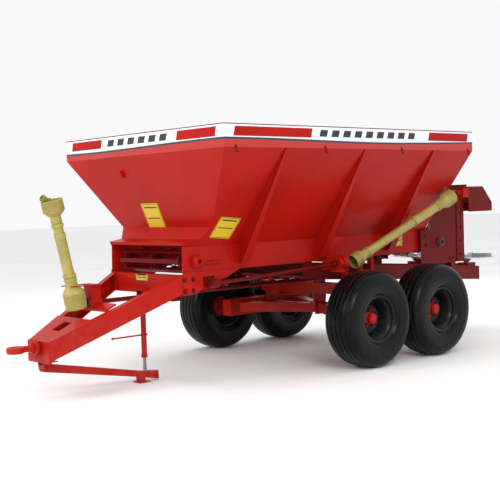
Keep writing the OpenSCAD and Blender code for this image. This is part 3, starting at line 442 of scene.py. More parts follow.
def circle(count: int) -> list[tuple[float, float]]:
    """Cosines and sines round a circle."""
    return [(math.cos(2 * math.pi * i / count), math.sin(2 * math.pi * i / count)) for i in range(count)]


class Shape:
    """Gathers the faces of one piece and turns them into an object."""

    def __init__(self, name: str) -> None:
        """Starts an empty piece."""
        self.name = name
        self.verts: list[Vector] = []
        self.faces: list[tuple[int, ...]] = []

    def add(self, verts: Iterable[Sequence[float]], faces: Iterable[Sequence[int]],
            at: Matrix = Matrix.Identity(4)) -> "Shape":
        """Adds a closed patch of faces in its own frame."""
        base = len(self.verts)
        self.verts += [at @ Vector(v) for v in verts]
        self.faces += [tuple(base + i for i in face) for face in faces]
        return self

    def lathe(self, profile: Profile, at: Matrix, count: int = 48, loop: bool = False,
              relief: Callable[[float, float, float], float] | None = None,
              lift: Callable[[float, float], float] | None = None) -> "Shape":
        """Turns a profile about the frame's Z.

        Args:
            profile: radius and height of each point; radius 0 makes a pole.
            at: the frame.
            count: faces round the axis.
            loop: whether the last point joins the first.
            relief: radius change from radius, height and turn.
            lift: height change from height and turn.

        Returns:
            The piece.
        """
        verts: list[tuple[float, float, float]] = []
        rings: list[list[int]] = []
        for r, z in profile:
            start = len(verts)
            if r < 1e-6:
                verts.append((0.0, 0.0, z))
                rings.append([start] * count)
                continue
            for k, (c, s) in enumerate(circle(count)):
                out = r + (relief(r, z, k / count) if relief else 0.0)
                verts.append((out * c, out * s, z + (lift(z, k / count) if lift else 0.0)))
            rings.append(list(range(start, start + count)))
        faces = []
        pairs = list(zip(rings, rings[1:])) + ([(rings[-1], rings[0])] if loop else [])
        for a, b in pairs:
            for k in range(count):
                n = (k + 1) % count
                face = list(dict.fromkeys((a[k], a[n], b[n], b[k])))
                if len(face) > 2:
                    faces.append(face)
        if not loop:
            faces += [cap for cap in (rings[0][::-1], rings[-1]) if cap[0] != cap[1]]
        return self.add(verts, faces, at)

    def prism(self, outline: Sequence[tuple[float, float]], z0: float, z1: float, at: Matrix) -> "Shape":
        """Extrudes an outline in the frame's XY from z0 to z1."""
        n = len(outline)
        verts = [(x, y, z) for z in (z0, z1) for x, y in outline]
        faces = [list(range(n))[::-1], list(range(n, 2 * n))]
        faces += [[i, (i + 1) % n, n + (i + 1) % n, n + i] for i in range(n)]
        return self.add(verts, faces, at)

    def block(self, low: Sequence[float], high: Sequence[float], at: Matrix = Matrix.Identity(4)) -> "Shape":
        """Adds a box between two corners."""
        x0, y0, z0 = low
        x1, y1, z1 = high
        return self.prism([(x0, y0), (x1, y0), (x1, y1), (x0, y1)], z0, z1, at)

    def tube(self, path: Sequence[Sequence[float]], radius: float, count: int = 10, ripple: float = 0.0,
             loop: bool = False) -> "Shape":
        """Sweeps a circle along points.

        Args:
            path: the points it follows.
            radius: its radius.
            count: faces round it.
            ripple: share by which every other ring is smaller.
            loop: whether the path closes.

        Returns:
            The piece.
        """
        points = [Vector(p) for p in path]
        last = len(points) - 1
        verts, rings = [], []
        side = None
        for i, p in enumerate(points):
            before = points[i - 1] if i or loop else points[0]
            after = points[(i + 1) % len(points)] if i < last or loop else points[last]
            along = (after - before).normalized()
            if side is None:
                side = along.orthogonal().normalized()
            side = (side - along * side.dot(along)).normalized()
            other = along.cross(side)
            r = radius * (1 - ripple * (i % 2))
            rings.append(list(range(len(verts), len(verts) + count)))
            verts += [p + side * (r * c) + other * (r * s) for c, s in circle(count)]
        faces = []
        for a, b in list(zip(rings, rings[1:])) + ([(rings[-1], rings[0])] if loop else []):
            faces += [(a[k], a[(k + 1) % count], b[(k + 1) % count], b[k]) for k in range(count)]
        if not loop:
            faces += [tuple(rings[0][::-1]), tuple(rings[-1])]
        return self.add(verts, faces)

    def bead(self, start: Sequence[float], end: Sequence[float], radius: float = 0.005) -> "Shape":
        """Adds a rippled weld bead between two points."""
        a, b = Vector(start), Vector(end)
        steps = max(4, int((b - a).length / (radius * 1.3)))
        return self.tube([a.lerp(b, i / steps) for i in range(steps + 1)], radius, 7, 0.16)

    def bolt(self, at: Matrix, radius: float, washer: bool = True, height: float | None = None) -> "Shape":
        """Adds a chamfered hexagon head, with a washer under it if wanted."""
        tall = height or radius * 0.8
        base = radius * 0.22 if washer else 0.0
        if washer:
            self.lathe([(0, 0), (radius * 1.3, 0), (radius * 1.3, base), (0, base)], at, 24)
        hexagon = [(radius * c, radius * s) for c, s in circle(6)]
        self.prism(hexagon, base, base + tall * 0.86, at)
        self.lathe([(0, base + tall * 0.86), (radius * 0.9, base + tall * 0.86), (radius * 0.78, base + tall),
                    (0, base + tall)], at, 18)
        return self

    def make(self, material: bpy.types.Material, body: str, slot: Slot, bevel: float = 0.0,
             smooth: float = 32.0, replaces: Sequence[str] = ()) -> bpy.types.Object:
        """Turns the faces into an object that rides on a body.

        Args:
            material: its finish.
            body: the CAD body it rides on.
            slot: the record slot it stands for; not used.
            bevel: width of the rounding of its sharp edges.
            smooth: largest angle that is shaded smooth, in degrees.
            replaces: CAD nodes that it stands for.

        Returns:
            The object.
        """
        mesh = bpy.data.meshes.new(self.name)
        work = bmesh.new()
        made = [work.verts.new(v) for v in self.verts]
        for face in self.faces:
            work.faces.new([made[i] for i in face])
        bmesh.ops.recalc_face_normals(work, faces=work.faces)
        if bevel:
            sharp = [e for e in work.edges if e.is_manifold and e.calc_face_angle(0) > math.radians(40)]
            bmesh.ops.bevel(work, geom=sharp, offset=bevel, segments=2, profile=0.6, affect="EDGES",
                            clamp_overlap=True)
        work.to_mesh(mesh)
        work.free()
        mesh.shade_smooth()
        mesh.set_sharp_from_angle(angle=math.radians(smooth))
        mesh.materials.append(material)
        made_object = bpy.data.objects.new(self.name, mesh)
        bpy.context.scene.collection.objects.link(made_object)
        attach(made_object, body)
        if replaces:
            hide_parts(*replaces)
        log.info("%s: %d faces on %s", self.name, len(mesh.polygons), body)
        return made_object


def on_circle(at: Matrix, radius: float, turn: float, height: float) -> Matrix:
    """A frame moved out to a circle round its Z, at an angle and a height."""
    return at @ Matrix.Translation((radius * math.cos(turn), radius * math.sin(turn), height))


def middle(node: str) -> Vector:
    """Centre of a CAD node's box."""
    low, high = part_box(node)
    return (low + high) / 2


def reach(node: str, origin: Vector, along: Vector) -> tuple[float, float]:
    """Lowest and highest station of a CAD node along a line."""
    stations = [(v.co - origin).dot(along) for v in frame["nodes"][node].data.vertices]
    return min(stations), max(stations)


def joint(name: str) -> tuple[Vector, Vector]:
    """Point and axis of a joint of the frame."""
    found = next(j for j in frame["joints"] if j["name"] == name)
    return Vector(found.get("pos_m", (0, 0, 0))), Vector(found["axis"]).normalized()


# --------------------------------------------------------------------- wheels


@dataclass
class Wheel:
    """One implement tyre on its dished rim, with a red hub."""

    end: str
    side: Side
    finishes: Finishes
    groove_depth: float = 0.011
    groove_width: float = 0.010
    stud_ring: float = 0.078
    stud_count: int = 6
    shell_power: float = 3.226

    def __post_init__(self) -> None:
        """Reads the wheel's place and size from the frame."""
        self.name = f"{self.end}_{self.side.name.lower()}"
        low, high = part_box(f"tyre_{self.name}")
        self.radius = (high.z - low.z) / 2
        self.half = (high.y - low.y) / 2
        rim_low, rim_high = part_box(f"wheel_{self.name}")
        self.rim = (rim_high.z - rim_low.z) / 2
        centre = middle(f"tyre_{self.name}")
        self.at = aim(centre, (0, self.side.value, 0))
        self.body = f"wheel_{self.name}"
        self.seat = self.rim - 0.019

    def crown(self, y: float) -> float:
        """Radius of the tyre's outside at a distance from its middle plane."""
        mid = (self.seat + self.radius) / 2
        share = max(0.0, 1 - (abs(y) / self.half) ** self.shell_power)
        return mid + (self.radius - mid) * share ** (1 / self.shell_power)

    def side_wall(self) -> Profile:
        """Half profile from the bead up to the widest point, with moulded rings."""
        mid = (self.seat + self.radius) / 2
        points = [(self.seat, 0.105), (self.seat, 0.124)]
        flange = self.rim + 0.004
        for step in range(0, 25):
            r = flange + (mid - flange) * step / 24
            turn = math.acos(min(1.0, (mid - r) / (mid - self.seat)))
            y = self.half * (0.70 + 0.30 * math.sin(turn))
            ring = 0.0022 if step in (1, 2, 9, 10) else 0.0
            points.append((r, y - 0.0024 + ring))
        return points

    def tread(self) -> Profile:
        """Half profile from the widest point to the tyre's middle, with round grooves."""
        step = 2 * self.half * 0.155
        centres = [0.0, step, 2 * step]
        marks: list[tuple[float, float]] = []
        edge = self.groove_width / 2
        for i in range(0, 61):
            y = self.half * (1 - (i / 60) ** 1.6) if i else self.half
            if all(abs(y - c) > edge + 0.003 for c in centres):
                marks.append((self.crown(y) - 0.0005, y))
        for c in centres:
            top = self.crown(c + edge)
            floor = top - self.groove_depth + 0.002 * (c / step if step else 0)
            wall = [(top - 0.0012, c + edge + 0.0022), (top - 0.004, c + edge), (floor, c + edge * 0.7)]
            mirror = [(floor, c - edge * 0.7), (top - 0.004, c - edge), (top - 0.0012, c - edge - 0.0022)]
            marks += wall + ([] if c == 0.0 else mirror)
        marks.sort(key=lambda p: (-p[1]))
        return [p for p in marks if p[1] >= 0]

    def tyre(self) -> None:
        """Builds the tyre."""
        half = self.side_wall() + self.tread()
        whole = half + [(r, -y) for r, y in reversed(half)]
        shape = Shape(f"tyre_shell_{self.name}")
        shape.lathe(whole, self.at, 144, loop=True)
        shape.make(self.finishes.tyre, self.body, Slot.TYRE, smooth=38, replaces=[f"tyre_{self.name}"])

    def rim_and_disc(self) -> None:
        """Builds the black rim with its lips, drop centre, dished disc and valve."""
        r = self.rim
        lip = [(r - 0.004, 0.136), (r, 0.133), (r, 0.129), (r - 0.002, 0.1265), (self.seat, 0.1255),
               (self.seat, 0.096), (r - 0.040, 0.076), (r - 0.047, 0.068)]
        back = [(r - 0.055, 0.068), (r - 0.050, 0.083), (r - 0.029, 0.104), (r - 0.028, 0.130),
                (r - 0.014, 0.1345)]
        outside = lip + [(a, -b) for a, b in reversed(lip)]
        inside = [(a, -b) for a, b in reversed(back)] + back
        shape = Shape(f"rim_{self.name}")
        shape.lathe(outside + inside, self.at, 96, loop=True)
        disc = [(0.0, -0.006), (0.072, -0.006), (0.080, -0.002), (0.098, 0.016), (0.112, 0.020), (0.128, 0.016),
                (r - 0.064, -0.020), (r - 0.056, -0.026), (r - 0.0545, -0.040), (r - 0.060, -0.044),
                (0.126, 0.004), (0.112, 0.007), (0.100, 0.003), (0.080, -0.014), (0.0, -0.014)]
        shape.lathe(disc, self.at, 96)
        for i in range(8):
            turn = 2 * math.pi * (i + 0.5) / 8
            foot = Vector((math.cos(turn), math.sin(turn), 0.0))
            hole = self.at @ Matrix.Translation(foot * 0.143) @ Matrix.Rotation(turn, 4, "Z")
            ring = [(0.016 * c, 0.011 * s, 0.0135) for c, s in circle(24)]
            shape.tube([hole @ Vector(p) for p in ring], 0.0024, 8, loop=True)
        valve = self.at @ Matrix.Translation((0.158, 0.0, 0.0)) @ Matrix.Rotation(0.35, 4, "Y")
        shape.lathe([(0, -0.02), (0.0055, -0.02), (0.0055, 0.028), (0.0042, 0.032), (0.0042, 0.044),
                     (0, 0.045)], valve, 16)
        shape.make(self.finishes.black, self.body, Slot.BLACK, smooth=34, replaces=[f"wheel_{self.name}"])

    def hub(self) -> None:
        """Builds the red hub, its cap, studs and nuts."""
        shape = Shape(f"hub_{self.name}")
        shape.lathe([(0, -0.068), (0.050, -0.068), (0.054, -0.060), (0.054, -0.040), (0.098, -0.036),
                     (0.100, -0.018), (0.094, -0.015), (0.0, -0.015)], self.at, 64)
        shape.lathe([(0, 0.0), (0.056, -0.002), (0.060, 0.004), (0.054, 0.014), (0.0455, 0.020),
                     (0.0445, 0.048), (0.049, 0.050), (0.049, 0.055), (0.043, 0.057), (0.041, 0.0655),
                     (0.026, 0.0685), (0, 0.0692)],
                    self.at, 64)
        for i in range(self.stud_count):
            turn = 2 * math.pi * i / self.stud_count + 0.2
            foot = on_circle(self.at, self.stud_ring, turn, -0.004)
            shape.bolt(foot, 0.0125, False, 0.014)
            shape.lathe([(0, 0.012), (0.0065, 0.012), (0.0065, 0.026), (0.005, 0.0285), (0, 0.0285)], foot, 14)
            back = on_circle(self.at, 0.084, turn, -0.037)
            shape.bolt(back @ Matrix.Rotation(math.pi, 4, "X"), 0.0115, False, 0.009)
        for i in range(4):
            turn = math.pi / 2 * i + 0.6
            shape.bolt(on_circle(self.at, 0.034, turn, 0.0662), 0.0055, False, 0.004)
        shape.make(self.finishes.red, self.body, Slot.RED, smooth=34)

    def build(self) -> None:
        """Builds the whole wheel."""
        self.tyre()
        self.rim_and_disc()
        self.hub()


# --------------------------------------------------------------- shaft guards


@dataclass
class Guard:
    """A moulded drive-shaft guard along a line, with tubes, bells and locking rings."""

    name: str
    body: str
    finishes: Finishes
    origin: Vector
    direction: Vector

    def __post_init__(self) -> None:
        """Starts the piece."""
        self.shape = Shape(self.name)
        self.at = aim(self.origin, self.direction)

    def tube(self, s0: float, s1: float, outer: float, wall: float = 0.004, flutes: int = 0) -> "Guard":
        """Adds a hollow tube between two stations, with long flutes if wanted."""
        def flute(r: float, z: float, turn: float) -> float:
            """Relief of the long flutes."""
            return 0.0009 * math.cos(2 * math.pi * flutes * turn) if flutes and r > outer - wall / 2 else 0.0
        steps = max(2, int((s1 - s0) / 0.05))
        skin = [(outer - 0.0005, s0 + (s1 - s0) * i / steps) for i in range(steps + 1)]
        inner = [(outer - wall, z) for _, z in reversed(skin)]
        self.shape.lathe(skin + inner, self.at, 72, loop=True, relief=flute)
        return self

    def bell(self, small_end: float, mouth: float, small: float, big: float, notch: float = 0.0) -> "Guard":
        """Adds a ribbed bell.

        Args:
            small_end: station of its neck.
            mouth: station of its open mouth.
            small: radius of its neck.
            big: radius of its mouth.
            notch: height of the cut that lets a shaft pass on the +X side.

        Returns:
            The guard.
        """
        turn_x = self.at.to_3x3().inverted() @ Vector((1, 0, 0))
        centre = math.atan2(turn_x.y, turn_x.x) / (2 * math.pi)

        def lift(z: float, turn: float) -> float:
            """Rise of the mouth's edge beside the shaft."""
            away = abs((turn - centre + 0.5) % 1.0 - 0.5)
            gate = max(0.0, min(1.0, (0.17 - away) / 0.06))
            share = max(0.0, 1 - abs(z - mouth) / 0.12)
            return notch * gate * gate * (3 - 2 * gate) * share

        span = mouth - small_end
        outline: Profile = [(small, 0.0), (small + 0.007, 0.0), (small + 0.008, 0.02), (small + 0.004, 0.05),
                            (small + 0.009, 0.07), (small + 0.009, 0.11), (small + 0.004, 0.13),
                            (small + 0.006, 0.24)]
        rise = big - small - 0.006
        for i in range(1, 13):
            share = i / 12
            ease = share * share * (3 - 2 * share)
            outline.append((small + 0.006 + rise * ease, 0.24 + 0.28 * share))
        for i in range(6):
            base = 0.54 + 0.074 * i
            outline += [(big - 0.002, base), (big + 0.0025, base + 0.010), (big + 0.0025, base + 0.030),
                        (big - 0.002, base + 0.040)]
        outline += [(big, 0.985), (big - 0.003, 1.0)]
        inner = [(max(small - 0.001, r - 0.006), t) for r, t in reversed(outline[:20])]
        wall = [(big - 0.006, 0.995), (big - 0.007, 0.55)]
        points = [(r, small_end + t * span) for r, t in outline + wall + inner]
        self.shape.lathe(points, self.at, 84, loop=True, lift=lift if notch else None)
        return self

    def ring(self, station: float, radius: float, width: float, lugs: int = 4) -> "Guard":
        """Adds a locking ring with lugs."""
        self.shape.lathe([(radius - 0.004, station), (radius + 0.004, station),
                          (radius + 0.006, station + width * 0.2), (radius + 0.006, station + width * 0.8),
                          (radius + 0.004, station + width), (radius - 0.004, station + width)], self.at, 72,
                          loop=True)
        for i in range(lugs):
            spin = self.at @ Matrix.Rotation(2 * math.pi * i / lugs + 0.4, 4, "Z")
            self.shape.block((radius + 0.002, -0.009, station + width * 0.15),
                             (radius + 0.012, 0.009, station + width * 0.85), spin)
        return self

    def finish(self, *nodes: str) -> None:
        """Makes the object and stands it for its CAD nodes."""
        self.shape.make(self.finishes.guard, self.body, Slot.GUARD, smooth=40, replaces=nodes)


@dataclass
class Driveline:
    """Guards, the yoke and the bearing cap of the front and side shafts."""

    finishes: Finishes

    def front(self) -> None:
        """Builds the parked front guards and the tractor yoke."""
        foot, down = joint("front_spin")
        up = -down
        lower = Guard("front_guard_foot", "front_guard_lower", self.finishes, foot, up)
        lower.tube(0.150, 0.600, 0.045, flutes=6).bell(0.233, -0.036, 0.045, 0.092, notch=0.075)
        lower.tube(0.560, 0.610, 0.0475).ring(0.236, 0.050, 0.024)
        lower.finish("front_guard_lower")
        upper = Guard("front_guard_head", "front_guard_upper", self.finishes, foot, up)
        mouth = reach("front_guard_upper", foot, up)[1]
        upper.tube(0.240, mouth - 0.150, 0.0405, flutes=6).bell(mouth - 0.190, mouth, 0.0405, 0.090)
        upper.ring(mouth - 0.228, 0.045, 0.024).finish("front_guard_upper")
        self.yoke()

    def yoke(self) -> None:
        """Builds the splined tractor yoke with rounded ears."""
        head, _ = joint("yoke_tilt")
        mount = next(m for m in frame["record"]["mounts"] if m["name"] == "tractor_shaft_socket")
        along = Vector(mount["axis"]).normalized()
        turn = Matrix((Vector((0, 1, 0)).cross(along), Vector((0, 1, 0)), along)).transposed().to_4x4()
        at = Matrix.Translation(head) @ turn
        shape = Shape("tractor_yoke_forging")
        bore = [(0.0178 - (0.0022 if k % 4 < 2 else 0.0)) for k in range(24)]
        verts, count = [], 24
        rows = [(0.0278, 0.047), (0.0278, 0.100), (0.0305, 0.103), (0.0305, 0.110), (0.0278, 0.113),
                (0.0262, 0.119)]
        for r, z in rows:
            verts += [(r * c, r * s, z) for c, s in circle(count)]
        for z in (0.119, 0.047):
            verts += [(bore[k] * c, bore[k] * s, z) for k, (c, s) in enumerate(circle(count))]
        faces = []
        total = len(rows) + 2
        for row in range(total):
            a, b = row * count, ((row + 1) % total) * count
            faces += [(a + k, a + (k + 1) % count, b + (k + 1) % count, b + k) for k in range(count)]
        shape.add(verts, faces, at)
        shape.lathe([(0.0185, 0.046), (0.036, 0.046), (0.0395, 0.049), (0.0385, 0.056), (0.029, 0.060),
                     (0.0185, 0.060)],
                    at, 48, loop=True)
        turns = [math.pi * i / 12 for i in range(13)]
        ear = [(-0.0148, 0.048), (0.0148, 0.048)]
        ear += [(0.0148 * math.cos(t), -0.0135 * math.sin(t)) for t in turns]
        for sign in (-1, 1):
            side = at @ Matrix.Translation((0, sign * 0.034, 0)) @ Matrix.Rotation(math.pi / 2, 4, "X")
            shape.prism(ear, -0.006, 0.006, side)
            shape.lathe([(0, -0.0075), (0.0085, -0.0075), (0.0095, -0.0065), (0.0095, 0.0065), (0.0085, 0.0075),
                         (0, 0.0075)], side, 28)
            arm = at @ Matrix.Translation((0, sign * 0.010, 0)) @ Matrix.Rotation(-sign * math.pi / 2, 4, "X")
            shape.lathe([(0, 0.0), (0.0078, 0.0), (0.0078, 0.024), (0, 0.024)], arm, 24)
        shape.make(self.finishes.olive, "tractor_yoke", Slot.GUARD, smooth=30, replaces=["tractor_yoke"])

    def side(self) -> None:
        """Builds the guard of the side drive shaft and the flange bearing's nuts and ribs."""
        foot, along = joint("side_drive_spin")
        start, stop = reach("side_guard", foot, along)
        foot = foot + along * (start + 0.020)
        mouth = stop - start - 0.020
        guard = Guard("side_guard_tubes", "frame", self.finishes, foot, along)
        guard.tube(0.150, mouth - 0.260, 0.042, flutes=6)
        guard.tube(mouth - 0.580, mouth - 0.180, 0.047, flutes=6)
        guard.bell(0.170, -0.020, 0.042, 0.072).bell(mouth - 0.220, mouth, 0.047, 0.078)
        guard.ring(0.172, 0.047, 0.024).ring(mouth - 0.595, 0.046, 0.024).ring(mouth - 0.246, 0.050, 0.024)
        guard.finish("side_guard")
        start, axis = joint("side_shaft_spin")
        centre = middle("side_bearing")
        station = (centre - start).dot(axis)
        at = aim(start, axis)
        cap = Shape("side_bearing_cap")
        front = station + 0.052
        cap.lathe([(0.024, front), (0.062, front), (0.064, front + 0.004), (0.058, front + 0.009),
                   (0.040, front + 0.012), (0.036, front + 0.020), (0.024, front + 0.020)], at, 60, loop=True)
        for i in range(6):
            turn = 2 * math.pi * i / 6
            place = at @ Matrix.Rotation(turn, 4, "Z")
            cap.bolt(place @ Matrix.Translation((0.050, 0, front + 0.008)), 0.0095, True)
            rib = [(0.064, -0.006), (0.075, -0.004), (0.075, 0.004), (0.064, 0.006)]
            cap.prism(rib, station - 0.045, station + 0.045, place)
        cap.make(self.finishes.red, "frame", Slot.RED, 0.0006)

    def build(self) -> None:
        """Builds the driveline's looks."""
        self.front()
        self.side()


# --------------------------------------------------------------------- hopper


@dataclass
class Hopper:
    """Welds, lips, labels and tarp hooks of the hopper."""

    finishes: Finishes
    ribs_a_side: int = 3
    rib_foot: float = 1.02
    crease: float = 1.180

    def __post_init__(self) -> None:
        """Reads the hopper's box and slopes from the frame."""
        self.low, self.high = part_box("rim_band")
        self.rib_low, self.rib_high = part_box("side_ribs")
        self.wall_top = abs(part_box("hopper_side_right")[1].y)

    def rim_edge(self) -> None:
        """Adds the rolled edge round the top and upright straps at the band's corners."""
        r = 0.0065
        x0, x1 = self.low.x + r, self.high.x - r
        y0, y1 = self.low.y + r, self.high.y - r
        z = self.high.z - r
        shape = Shape("rim_rolled_edge")
        corner = 0.012
        path = []
        for cx, cy, start in ((x1, y1, 0), (x0, y1, 90), (x0, y0, 180), (x1, y0, 270)):
            sx = -1 if cx == x1 else 1
            sy = -1 if cy == y1 else 1
            for step in range(5):
                turn = math.radians(start + 22.5 * step)
                path.append((cx + sx * corner + corner * math.cos(turn),
                             cy + sy * corner + corner * math.sin(turn), z))
        shape.tube(path, r, 12, loop=True)
        shape.make(self.finishes.dark_red, "frame", Slot.DARK_RED)
        seam = Shape("band_corner_straps")
        for cx in (self.low.x, self.high.x):
            for cy in (self.low.y, self.high.y):
                sx = 1 if cx == self.low.x else -1
                sy = 1 if cy == self.low.y else -1
                seam.tube([(cx + sx * 0.004, cy + sy * 0.004, self.low.z + 0.002),
                           (cx + sx * 0.004, cy + sy * 0.004, self.high.z - 0.008)], 0.004, 8)
        seam.make(self.finishes.red, "frame", Slot.RED)

    def panels(self) -> None:
        """Adds plain red panels and slanted bars on the band's pale field."""
        panels, bars = Shape("band_plain_panels"), Shape("band_slanted_bars")
        tall = self.high.z - self.low.z
        foot, head = self.low.z + tall * 0.47, self.low.z + tall * 0.88
        side_face = Matrix(((1, 0, 0, 0), (0, 0, -1, self.low.y), (0, 1, 0, 0), (0, 0, 0, 1)))
        front_face = Matrix(((0, 0, -1, self.low.x), (-1, 0, 0, 0), (0, 1, 0, 0), (0, 0, 0, 1)))
        far_face = Matrix(((-1, 0, 0, 0), (0, 0, 1, self.high.y), (0, 1, 0, 0), (0, 0, 0, 1)))
        start = self.low.x
        spans = [(side_face, start, (0.10, 0.98), (2.58, 3.20), (1.08, 2.42)),
                 (far_face, -self.high.x, (0.08, 0.70), (2.31, 3.18), (0.84, 2.18)),
                 (front_face, self.low.y, (0.10, 0.59), (1.70, 2.20), (0.69, 1.62))]
        for face, zero, first, last, middle_span in spans:
            for a, b in (first, last):
                self.slab(panels, face, zero + a, zero + b, foot, head, 0.018, 0.0010)
            a, b = middle_span
            count = max(4, int((b - a) / 0.135))
            for i in range(count):
                x = zero + a + (b - a) * i / count
                self.slab(bars, face, x, x + (b - a) / count * 0.62, foot + 0.01, head - 0.01, 0.020, 0.0008)
        panels.make(self.finishes.red, "frame", Slot.RED)
        bars.make(self.finishes.ink, "frame", Slot.BLACK)

    @staticmethod
    def slab(shape: Shape, face: Matrix, x0: float, x1: float, z0: float, z1: float, lean: float,
             thick: float) -> None:
        """Adds one leaning flat panel to a band face."""
        shape.prism([(x0, z0), (x1, z0), (x1 + lean, z1), (x0 + lean, z1)], -0.0004, thick, face)

    def welds(self) -> None:
        """Adds the beads along the ribs, bent at the crease."""
        shape = Shape("hopper_weld_beads")
        ribs = frame["nodes"]["side_ribs"].data.vertices
        xs = sorted({round(v.co.x, 3) for v in ribs if abs(v.co.z - self.rib_high.z) < 0.012})
        gaps = [pair for pair in zip(xs, xs[1:]) if 0.008 < pair[1] - pair[0] < 0.012]
        centres = sorted({round(sum(pair) / 2, 3) for pair in gaps})
        wall = self.wall_top + 0.001
        tip = abs(self.rib_low.y) - 0.013
        for x in centres[:self.ribs_a_side]:
            for side in (1, -1):
                for off in (-0.0065, 0.0065):
                    bend = (x + off, side * wall, self.crease)
                    shape.bead((x + off, side * wall, self.rib_foot), bend)
                    shape.bead(bend, (x + off, side * tip, self.rib_high.z - 0.01))
        shape.make(self.finishes.bead, "frame", Slot.RED)

    def hooks(self) -> None:
        """Adds bent-rod tarp hooks in place of the plain lugs."""
        shape = Shape("tarp_hook_rods")
        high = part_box("tarp_hooks")[1]
        node = frame["nodes"]["tarp_hooks"]
        xs = sorted({round(v.co.x, 3) for v in node.data.vertices})
        places = [(a + b) / 2 for a, b in zip(xs[::2], xs[1::2])]
        for x in places:
            for side in (1, -1):
                edge = side * (abs(self.low.y) - 0.001)
                out = side * 0.0105
                path = [(x, edge, high.z - 0.004), (x, edge + out * 0.7, high.z - 0.006),
                        (x, edge + out, high.z - 0.014)]
                path += [(x, edge + out, high.z - 0.022 - 0.006 * i) for i in range(4)]
                path += [(x + 0.012 * (1 - math.cos(t)), edge + out, high.z - 0.042 - 0.010 * math.sin(t))
                         for t in (0.4, 0.9, 1.4, 1.9, 2.4, 2.9)]
                shape.tube(path, 0.0045, 8)
                shape.lathe([(0, 0), (0.013, 0), (0.013, 0.003), (0, 0.0035)],
                            aim((x, edge - side * 0.001, high.z - 0.004), (0, side, 0)), 20)
        shape.make(self.finishes.dark_red, "frame", Slot.DARK_RED, replaces=["tarp_hooks"])

    def plate(self, name: str, at: Matrix, wide: float, tall: float) -> None:
        """Adds one blank yellow label with a dark frame and plain bars.

        Args:
            name: the label's name.
            at: its frame, with Z out of the surface.
            wide: its size along X.
            tall: its size along Y.
        """
        radius = 0.012
        outline = []
        for cx, cy, start in ((wide / 2, tall / 2, 0), (-wide / 2, tall / 2, 90), (-wide / 2, -tall / 2, 180),
                              (wide / 2, -tall / 2, 270)):
            for step in range(5):
                turn = math.radians(start + 22.5 * step)
                outline.append((cx - math.copysign(radius, cx) + radius * math.cos(turn),
                                cy - math.copysign(radius, cy) + radius * math.sin(turn)))
        film = Shape(name)
        film.prism(outline, 0.0, 0.0012, at)
        film.make(self.finishes.yellow, "frame", Slot.RED)
        frame_path = [at @ Vector((x * 0.93, y * 0.93, 0.0012)) for x, y in outline]
        ink = Shape(f"{name}_frame")
        ink.tube(frame_path, 0.0022, 6, loop=True)
        ink.block((-wide * 0.36, -0.004, 0.0008), (wide * 0.36, 0.004, 0.0026), at)
        ink.block((-wide * 0.36, tall * 0.36 - 0.006, 0.0008), (wide * 0.36, tall * 0.36 + 0.006, 0.0026), at)
        ink.make(self.finishes.ink, "frame", Slot.BLACK)

    def labels(self) -> None:
        """Adds the labels on the front slope, the right side, the cross member and the rear wall."""
        shift = self.low.x + 1.755
        front_normal = Vector((-0.639, 0, -0.272)).normalized()
        front = Vector((shift - 1.5165, 0.115, 1.428)) + front_normal * 0.001
        up = Vector((-0.272, 0, 0.639)).normalized()
        self.plate("label_front", self.facing(front, front_normal, up), 0.25, 0.29)
        side_normal = Vector((0, -0.805, -0.635)).normalized()
        side_up = Vector((0.12, -0.635, 0.805)).normalized()
        side = Vector((shift - 1.33, -0.639, 1.330)) + side_normal * 0.001
        self.plate("label_side", self.facing(side, side_normal, side_up), 0.24, 0.225)
        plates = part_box("chassis_plates")
        level = Vector((0, 0, 1))
        cross = self.facing(Vector((plates[0].x - 0.001, 0.055, 0.912)), Vector((-1, 0, 0)), level)
        self.plate("label_cross", cross, 0.18, 0.06)
        wall_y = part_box("hopper_floor")[0].y - 0.006
        rear = self.facing(Vector((shift + 1.09, wall_y - 0.001, 1.10)), Vector((0, -1, 0)), level)
        self.plate("label_rear", rear, 0.17, 0.12)

    @staticmethod
    def facing(origin: Vector, normal: Vector, up: Vector) -> Matrix:
        """A frame at origin with Z along the normal and Y near up."""
        across = up.cross(normal).normalized()
        turn = Matrix((across, normal.cross(across), normal)).transposed().to_4x4()
        return Matrix.Translation(origin) @ turn

    def build(self) -> None:
        """Builds the hopper's looks."""
        self.rim_edge()
        self.panels()
        self.welds()
        self.hooks()
        self.labels()


# ------------------------------------------------------------------- conveyor


